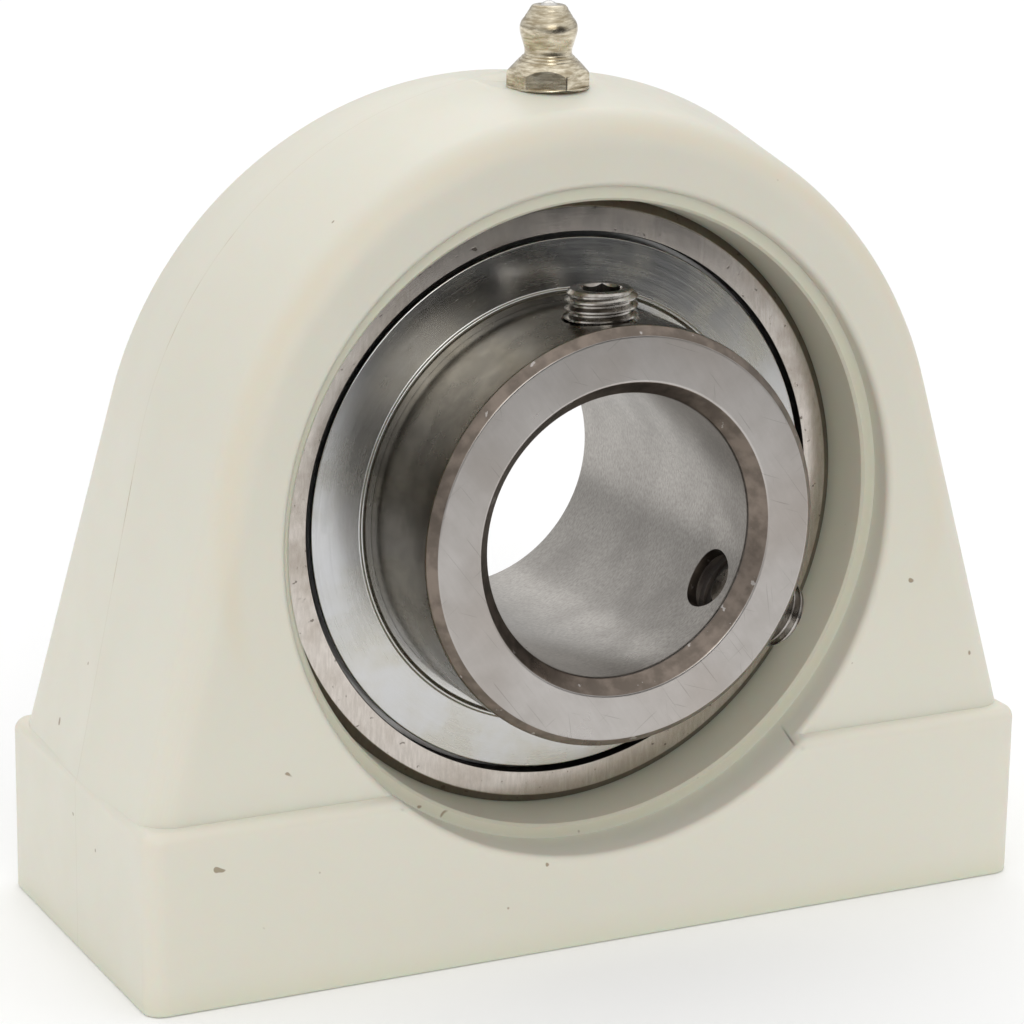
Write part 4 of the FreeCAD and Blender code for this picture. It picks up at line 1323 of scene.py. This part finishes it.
@dataclass
class ThreadedInserts:
    """The two metal inserts in the underside, each with a groove round it and a tapped hole."""

    reach: float = 41.3
    radius: float = 7.5
    groove: float = 0.8
    length: float = 16.0
    thread_radius: float = 5.0
    thread_depth: float = 13.0
    tap_start: float = 0.3
    mouth: float = 0.8
    thread: Thread = Thread(1.5, 0.6)

    def axis(self, side: int) -> Lathe:
        """The upright axis of one insert."""
        return Lathe((self.reach * side, 0.0, 0.0))

    def blank(self, name: str, side: int) -> Piece:
        """An insert before it is drilled, which also opens its pocket in the housing.

        Args:
            name: Its name.
            side: -1 on the left, 1 on the right.

        Returns:
            The blank.
        """
        third = self.length / 3
        waist = self.radius - self.groove
        path = [
            (0, 0), (0, self.radius), (third, self.radius), (third, waist), (third * 2, waist),
            (third * 2, self.radius), (self.length, self.radius), (self.length, 0),
        ]
        return self.axis(side).turn(name, path, ROUND)

    def pockets(self) -> list[Callable[[], Piece]]:
        """Makers of the two tools that open the pockets."""
        return [lambda: self.blank("pocket_tool", -1), lambda: self.blank("pocket_tool", 1)]

    def build(self, name: str, side: int) -> Piece:
        """Make one insert.

        Args:
            name: Its name.
            side: -1 on the left, 1 on the right.

        Returns:
            The insert.
        """
        insert = self.blank(name, side)
        drill = self.axis(side).turn(
            "drill_tool",
            [
                (-1.0, 0), (-1.0, self.thread_radius + self.mouth + 1.0), (self.mouth, self.thread_radius),
                (self.thread_depth, self.thread_radius), (self.thread_depth, 0),
            ],
            ROUND,
        )
        Bench.use(insert, drill, Cut.TAKE)
        turns = math.floor((self.thread_depth - 1.0) / self.thread.pitch)
        crest = self.thread_radius + self.thread.depth
        rod = self.thread.rod("tap_tool", self.axis(side), crest, turns, self.tap_start)
        Bench.use(insert, rod, Cut.TAKE)
        return Bench.shade(insert)

    def fit(self) -> None:
        """Make both inserts and hand them over."""
        brass = TURNED_BRASS.make()
        for name, side in (("threaded_insert_left", -1), ("threaded_insert_right", 1)):
            hand_over(self.build(f"{name}_turned", side), "housing", name, brass)


@dataclass
class InsertBearing:
    """The insert bearing: its rings, and the flingers and set screws on the inner one."""

    sphere: float = 36.0
    half_width: float = 10.0
    bevel_length: float = 0.75
    face_radius: float = 33.841
    mouth: float = 30.996
    shoulder: float = 29.996
    seal_groove: float = 31.396
    track_radius: float = 5.72
    outer_track_centre: float = 26.606
    groove_front: float = -6.3
    groove_rear: float = -3.7
    groove_floor: float = 34.751
    grease_hole: float = 0.75
    grease_hole_place: float = -5.0
    grease_hole_span: Pair = (25.0, 38.0)
    bore: float = 15.875
    bore_mouth: float = 17.525
    bore_bevel: float = 1.8
    ring_radius: float = 23.504
    ring_bevel: float = 1.0
    front: float = -25.4
    rear: float = 17.5
    inner_track_centre: float = 26.894
    hole_start: float = 10.0
    hole_flare: tuple[Pair, ...] = ((22.9, 0.0), (23.5, 0.5), (26.0, 3.0))
    hole_lip: float = 3.45
    hole_lip_end: float = 17.0
    hole_clearance: float = 0.04
    tap_start: float = 17.8
    tap_turns: int = 5
    screw_place: float = -18.9
    screw_radius: float = 4.0
    screw_length: float = 9.0
    screw_bevel: float = 0.7
    screw_cup: float = 2.2
    screw_cup_depth: float = 1.1
    socket_flats: float = 4.0
    socket_depth: float = 4.0
    socket_bevel: float = 0.35
    flinger_rim: float = 30.45
    flinger_thickness: float = 0.7
    flinger_face: float = 10.25
    flinger_lean: float = 0.3
    flinger_flange: float = 1.4
    flinger_fit: float = 0.02
    lip_radius: float = 24.7
    lip_height: float = 0.28
    thread: Thread = Thread(1.0, 0.58)
    screws: tuple[tuple[str, float, float], ...] = (("top", 91.0, 3.1), ("side", -29.0, 3.7))

    def outer_ring(self) -> Piece:
        """The outer ring.

        Returns:
            The ring.
        """
        edge = self.half_width - self.bevel_length
        edge_radius = math.sqrt(self.sphere**2 - edge**2)
        track_half = math.sqrt(self.track_radius**2 - (self.shoulder - self.outer_track_centre) ** 2)
        groove_out, groove_in = self.half_width - 1.7, self.half_width - 2.7

        def on_sphere(along: float) -> Pair:
            """A point of the sphere."""
            return along, math.sqrt(self.sphere**2 - along**2)

        outside = [
            (-self.half_width, self.mouth, 0.12), (-self.half_width, self.face_radius, 0.12),
            (-edge, edge_radius, 0.12), Bow((0, 0), on_sphere(self.groove_front), 6),
            (self.groove_front, self.groove_floor), (self.groove_rear, self.groove_floor),
            on_sphere(self.groove_rear), Bow((0, 0), (edge, edge_radius), 20),
            (self.half_width, self.face_radius, 0.12), (self.half_width, self.mouth, 0.12),
        ]
        inside = [
            (groove_out, self.mouth), (groove_out, self.seal_groove), (groove_in, self.seal_groove),
            (groove_in, self.shoulder), (track_half, self.shoulder),
            Bow((0, self.outer_track_centre), (-track_half, self.shoulder), 20),
            (-groove_in, self.shoulder), (-groove_in, self.seal_groove), (-groove_out, self.seal_groove),
            (-groove_out, self.mouth),
        ]
        ring = SHAFT.turn("outer_ring_ground", outside + inside, FINE)
        for up in (1.0, -1.0):
            axis = Lathe((0.0, self.grease_hole_place, SHAFT_HEIGHT), (0.0, 0.0, up))
            low, high = self.grease_hole_span
            path = [(low, 0), (low, self.grease_hole), (high, self.grease_hole), (high, 0)]
            Bench.use(ring, axis.turn("grease_hole_tool", path, 24), Cut.TAKE)
        return Bench.shade(ring)

    def screw_axis(self, degrees: float) -> Lathe:
        """The axis of a set screw, outwards from the shaft's.

        Args:
            degrees: Its angle about the shaft.

        Returns:
            The axis.
        """
        turn = math.radians(degrees)
        outwards = (math.cos(turn), 0.0, math.sin(turn))
        return Lathe((0.0, self.screw_place, SHAFT_HEIGHT), outwards, (0.0, 1.0, 0.0))

    def inner_ring(self) -> Piece:
        """The inner ring with its two tapped holes.

        Returns:
            The ring.
        """
        track_half = math.sqrt(self.track_radius**2 - (self.inner_track_centre - self.ring_radius) ** 2)
        path = [
            (self.front + self.bore_bevel, self.bore, 0.25), (self.front, self.bore_mouth, 0.2),
            (self.front, self.ring_radius - self.ring_bevel, 0.15),
            (self.front + self.ring_bevel, self.ring_radius, 0.25), (-track_half, self.ring_radius),
            Bow((0, self.inner_track_centre), (track_half, self.ring_radius), 20),
            (self.rear - self.ring_bevel, self.ring_radius, 0.25),
            (self.rear, self.ring_radius - self.ring_bevel, 0.15), (self.rear, self.bore_mouth, 0.2),
            (self.rear - self.bore_bevel, self.bore, 0.25),
        ]
        ring = SHAFT.turn("inner_ring_ground", path, FINE)
        hole_radius = self.screw_radius + self.hole_clearance
        for _, degrees, _ in self.screws:
            axis = self.screw_axis(degrees)
            drill = axis.turn(
                "drill_tool",
                [
                    (self.hole_start, 0), (self.hole_start, self.hole_lip),
                    (self.hole_lip_end, self.hole_lip),
                    (self.hole_lip_end + hole_radius - self.hole_lip, hole_radius),
                    *((along, hole_radius + wider) for along, wider in self.hole_flare),
                    (self.hole_flare[-1][0], 0),
                ],
                SMALL,
            )
            Bench.use(ring, drill, Cut.TAKE)
            crest = hole_radius + self.thread.depth * 0.8
            tap = self.thread.rod("tap_tool", axis, crest, self.tap_turns, self.tap_start)
            Bench.use(ring, tap, Cut.TAKE)
        return Bench.shade(ring)

    def set_screw(self, name: str, degrees: float, stand: float) -> Piece:
        """A set screw: a threaded rod kept to a turned blank, with a hexagon socket.

        Args:
            name: Its name.
            degrees: The angle of its axis.
            stand: How far it stands out of the ring.

        Returns:
            The set screw.
        """
        axis = self.screw_axis(degrees)
        top = self.ring_radius + stand
        foot = top - self.screw_length
        screw = self.thread.rod(name, axis, self.screw_radius, 11, foot - 1.0)
        blank = axis.turn(
            "blank_tool",
            [
                (foot + self.screw_cup_depth, 0), (foot, self.screw_cup),
                (foot + self.screw_radius - self.screw_cup, self.screw_radius),
                (top - self.screw_bevel, self.screw_radius, 0.15),
                (top, self.screw_radius - self.screw_bevel, 0.15), (top, 0),
            ],
            ROUND,
        )
        Bench.use(screw, blank, Cut.KEEP)
        corner = self.socket_flats / 2 / math.cos(HALF_FLAT)
        Bench.clear()
        depth = self.socket_depth * 2 * MM
        bpy.ops.mesh.primitive_cylinder_add(vertices=6, radius=corner * MM, depth=depth)
        Bench.named("key_tool")
        key = Lathe(tuple(axis.place(top, 0) / MM), axis.axis, axis.side).stand(bpy.context.object)
        Bench.use(screw, key, Cut.TAKE)
        floor, rim = top - self.socket_bevel, top + 0.1
        bevel = [(floor, 0), (floor, corner - self.socket_bevel), (rim, corner + 0.1), (rim, 0)]
        Bench.use(screw, axis.turn("mouth_tool", bevel, SMALL), Cut.TAKE)
        return Bench.shade(screw)

    def flinger(self, name: str, side: int) -> Piece:
        """A pressed flinger: a rim turned inwards, a slightly dished disc and a thin lip at the inner ring.

        Args:
            name: Its name.
            side: -1 in front, 1 at the rear.

        Returns:
            The flinger.
        """
        thick, face, rim = self.flinger_thickness, self.flinger_face, self.flinger_rim
        edge = face - self.flinger_lean
        crest, hub = face + self.lip_height, self.ring_radius + self.flinger_fit
        lip = self.lip_radius
        path = [
            (edge * side, rim, 0.2, 4), (face * side, lip + 0.2, 0.1, 3),
            (crest * side, lip + 0.05, 0.08, 3), (crest * side, lip - 0.2, 0.1, 3),
            ((face + 0.02) * side, lip - 0.45, 0.1, 3), ((face + 0.02) * side, hub),
            ((face - thick) * side, hub), ((edge - thick) * side, rim - thick, 0.1, 3),
            ((face - self.flinger_flange) * side, rim - thick), ((face - self.flinger_flange) * side, rim),
        ]
        return Bench.shade(SHAFT.turn(name, path, FINE))

    def fit(self) -> None:
        """Make the rings, flingers and set screws and hand them over."""
        outer, inner = OuterRingSteel().make(), InnerRingSteel().make()
        sheet, steel = FLINGER_SHEET.make(), SCREW_STEEL.make()
        hand_over(self.outer_ring(), "outer_ring", "outer_ring", outer)
        hand_over(self.inner_ring(), "inner_ring", "inner_ring", inner)
        for name, side in (("front_flinger", -1), ("rear_flinger", 1)):
            hand_over(self.flinger(f"{name}_pressed", side), "inner_ring", name, sheet)
        for name, degrees, stand in self.screws:
            node = f"set_screw_{name}"
            hand_over(self.set_screw(f"{node}_threaded", degrees, stand), node, node, steel)


@dataclass
class GreaseNipple:
    """The grease nipple: a plain shank at the thread's size, a hexagon, a grooved neck and a round head with
    a mouth.
    """

    along: float = -4.4
    spot_face: float = 93.75
    thread_radius: float = 3.175
    thread_length: float = 5.65
    passage: float = 1.1
    flats: float = 8.0
    turn: float = 0.5
    washer: float = 4.6
    corner_wear: float = 0.08
    hexagon_height: float = 1.65
    neck_height: float = 4.3
    neck_radius: float = 2.6
    belly_height: float = 6.65
    belly_radius: float = 3.2
    top_height: float = 9.0
    top_radius: float = 1.85
    mouth_radius: float = 0.95
    chamber_radius: float = 1.35
    chamber_floor: float = 2.75

    @property
    def axis(self) -> Lathe:
        """The nipple's upright axis, from the spot-face."""
        return Lathe((0.0, self.along, self.spot_face))

    def hexagon(self) -> Piece:
        """The hexagon, its corners cut to a cone.

        Returns:
            The hexagon.
        """
        corner = self.flats / 2 / math.cos(HALF_FLAT)
        shoulder = self.hexagon_height + corner - self.neck_radius
        neck = (shoulder, self.neck_radius)
        Bench.clear()
        bpy.ops.mesh.primitive_cylinder_add(
            vertices=6,
            radius=corner * MM,
            depth=shoulder * MM,
            location=self.axis.place(shoulder / 2, 0),
            rotation=(0, 0, math.radians(self.turn)),
        )
        prism = Bench.named("hexagon")
        cone = self.axis.turn(
            "cone_tool",
            [
                (0, 0), (0, corner - self.corner_wear),
                (self.hexagon_height, corner - self.corner_wear, 0.2),
                *grooved((2.75, corner + self.hexagon_height - 2.75), neck, 3, 0.07), neck, (shoulder, 0),
            ],
            ROUND,
        )
        return Bench.use(prism, cone, Cut.KEEP)

    def build(self) -> Piece:
        """Make the nipple.

        Returns:
            The nipple.
        """
        rise = (self.belly_height - self.neck_height) / 3
        widen = (self.belly_radius - self.neck_radius) / 3
        nipple = self.axis.turn(
            "grease_nipple_turned",
            [
                (-self.thread_length, 0), (-self.thread_length, self.thread_radius - 0.4),
                (-self.thread_length + 0.4, self.thread_radius), (0.0, self.thread_radius),
                (0.0, self.washer, 0.06), (0.22, self.washer - 0.04, 0.06), (0.3, self.neck_radius),
                (self.neck_height - 0.1, self.neck_radius, 0.25, 4),
                (self.neck_height + rise, self.neck_radius + widen * 1.45, 0.1, 2),
                (self.belly_height - 0.45, self.belly_radius, 0.35, 4),
                (self.belly_height + 0.35, self.belly_radius - 0.05, 0.4, 4),
                *grooved((7.45, 2.79), (self.top_height - 0.4, 2.07), 3, 0.03),
                (self.top_height, self.top_radius, 0.3, 4), (self.top_height, 0),
            ],
            ROUND,
        )
        Bench.use(nipple, self.hexagon(), Cut.JOIN)
        mouth_foot = self.top_height - 0.3
        hollow = self.axis.turn(
            "hollow_tool",
            [
                (-self.thread_length - 1.0, 0), (-self.thread_length - 1.0, self.passage),
                (self.chamber_floor, self.passage), (self.chamber_floor, self.chamber_radius),
                (mouth_foot - (self.chamber_radius - self.mouth_radius), self.chamber_radius),
                (mouth_foot, self.mouth_radius), (self.top_height - 0.15, self.mouth_radius),
                (self.top_height + 0.15, self.mouth_radius + 0.3), (self.top_height + 0.15, 0),
            ],
            ROUND,
        )
        Bench.use(nipple, hollow, Cut.TAKE)
        return Bench.shade(nipple)

    def fit(self) -> None:
        """Make the nipple, hand it over and give its ball and spring their finishes."""
        hand_over(self.build(), "housing", "grease_nipple_body", NIPPLE_ZINC.make())
        dress(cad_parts["grease_nipple_ball"], CHECK_BALL_STEEL.make())
        dress(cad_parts["grease_nipple_spring"], SPRING_WIRE.make())


@dataclass
class RunningGear:
    """The balls, cage and seals, whose solids are right as they are and get their finishes here."""

    balls: int = 9

    def fit(self) -> None:
        """Give each node its finish."""
        lapped, pressed = BALL_STEEL.make(), CAGE_SHEET.make()
        carrier, rubber = CARRIER_SHEET.make(), SealRubber().make()
        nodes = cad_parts
        for number in range(1, self.balls + 1):
            dress(nodes[f"ball_{number}"], lapped)
        for name in ("cage_front_half", "cage_rear_half", "cage_rivets"):
            dress(nodes[name], pressed)
        for end in ("front", "rear"):
            dress(nodes[f"{end}_seal_carrier"], carrier)
            dress(nodes[f"{end}_seal_lip"], rubber)
        LOG.info("balls, cage and seals: finished")


@dataclass
class Studio:
    """The pale floor, the soft lights and the camera."""

    camera_place: Triple = (-179.21, -359.05, 154.93)
    yaw: float = 26.35
    pitch: float = -15.41
    roll: float = 0.89
    focal: float = 3650.0
    picture: float = 1024.0
    sensor: float = 36.0
    air_levels: Triple = (0.04, 0.58, 1.18)
    air_lines: Pair = (-0.25, 0.08)
    opening_bearing: float = 284.0
    opening_height: float = 3.0
    opening_cosines: Pair = (0.80, 0.95)
    opening_level: float = 0.02

    def floor(self) -> None:
        """The seamless paper."""
        Bench.clear()
        bpy.ops.mesh.primitive_plane_add(size=6.0, location=(0, 2.7, 0))
        paper = Bench.named("studio_floor")
        dress(paper, StudioPaper().make())

    def air(self) -> None:
        """The room's soft light: brighter overhead, with one dim opening in front, low on the right."""
        world = bpy.data.worlds.new("studio_air")
        bpy.context.scene.world = world
        world.use_nodes = True
        air = Nodes(world.node_tree)
        direction = air.add("ShaderNodeTexCoord").outputs["Generated"]
        _, _, up = air.split(direction)
        low, level, high = self.air_levels
        floor_line, horizon = self.air_lines
        below = air.grade(up, floor_line, horizon, low, level, "LINEAR")
        above = air.grade(up, horizon, 1.0, 1.0, high / level, "LINEAR")
        bearing, height = math.radians(self.opening_bearing), math.radians(self.opening_height)
        flat = math.cos(height)
        towards = air.add("ShaderNodeVectorMath", operation="DOT_PRODUCT")
        air.feed(towards.inputs[0], direction)
        air.feed(towards.inputs[1], (math.cos(bearing) * flat, math.sin(bearing) * flat, math.sin(height)))
        opening = air.grade(towards.outputs["Value"], *self.opening_cosines, 1.0, self.opening_level)
        background = world.node_tree.nodes["Background"]
        air.feed(background.inputs["Strength"], air.both(air.both(below, above), opening))
        background.inputs["Color"].default_value = (1.0, 1.0, 1.0, 1.0)

    def lamp(self, name: str, place: Triple, size: float, power: float, tint: Colour) -> None:
        """A soft square lamp that faces the bearing.

        Args:
            name: Its name.
            place: Where it stands, in metres.
            size: Its side, in metres.
            power: Its power, in watts.
            tint: Its colour.
        """
        Bench.clear()
        bpy.ops.object.light_add(type="AREA", location=place)
        lamp = bpy.context.object
        lamp.name = name
        lamp.data.shape = "SQUARE"
        lamp.data.size = size
        lamp.data.energy = power
        lamp.data.color = tint
        aim = millimetres(0, 0, SHAFT_HEIGHT) - Vector(place)
        lamp.rotation_euler = aim.to_track_quat("-Z", "Y").to_euler()

    def camera(self) -> None:
        """The camera at the photograph's viewing angle."""
        yaw, pitch, roll = (math.radians(angle) for angle in (self.yaw, self.pitch, self.roll))
        level = math.cos(pitch)
        forward = Vector((math.sin(yaw) * level, math.cos(yaw) * level, math.sin(pitch)))
        right = Vector((math.cos(yaw), -math.sin(yaw), 0.0))
        upward = right.cross(forward)
        level_right = right * math.cos(roll) + upward * math.sin(roll)
        level_up = upward * math.cos(roll) - right * math.sin(roll)
        turned = Matrix((level_right, level_up, -forward)).transposed().to_4x4()
        Bench.clear()
        bpy.ops.object.camera_add()
        camera = bpy.context.object
        camera.matrix_world = Matrix.Translation(Vector(self.camera_place) * MM) @ turned
        camera.data.sensor_width = self.sensor
        camera.data.lens = self.focal * self.sensor / self.picture
        camera.data.clip_start = 0.01
        bpy.context.scene.camera = camera

    def fit(self) -> None:
        """Set up the studio."""
        self.floor()
        self.air()
        self.lamp("front_lamp", (-0.2, -1.0, 0.62), 0.6, 2.6, (1.0, 0.995, 0.985))
        self.lamp("rear_lamp", (0.5, 1.1, 1.3), 1.2, 2.5, (1.0, 1.0, 1.0))
        self.camera()
        bpy.context.scene.view_settings.view_transform = "Standard"
        LOG.info("studio: ready")


def main() -> None:
    """Build the bearing unit in order and report each piece."""
    logging.basicConfig(level=logging.INFO, format="%(name)s %(message)s")
    inserts = ThreadedInserts()
    Housing().fit(inserts.pockets())
    inserts.fit()
    InsertBearing().fit()
    GreaseNipple().fit()
    RunningGear().fit()
    Studio().fit()


if __name__ == "__main__":
    main()
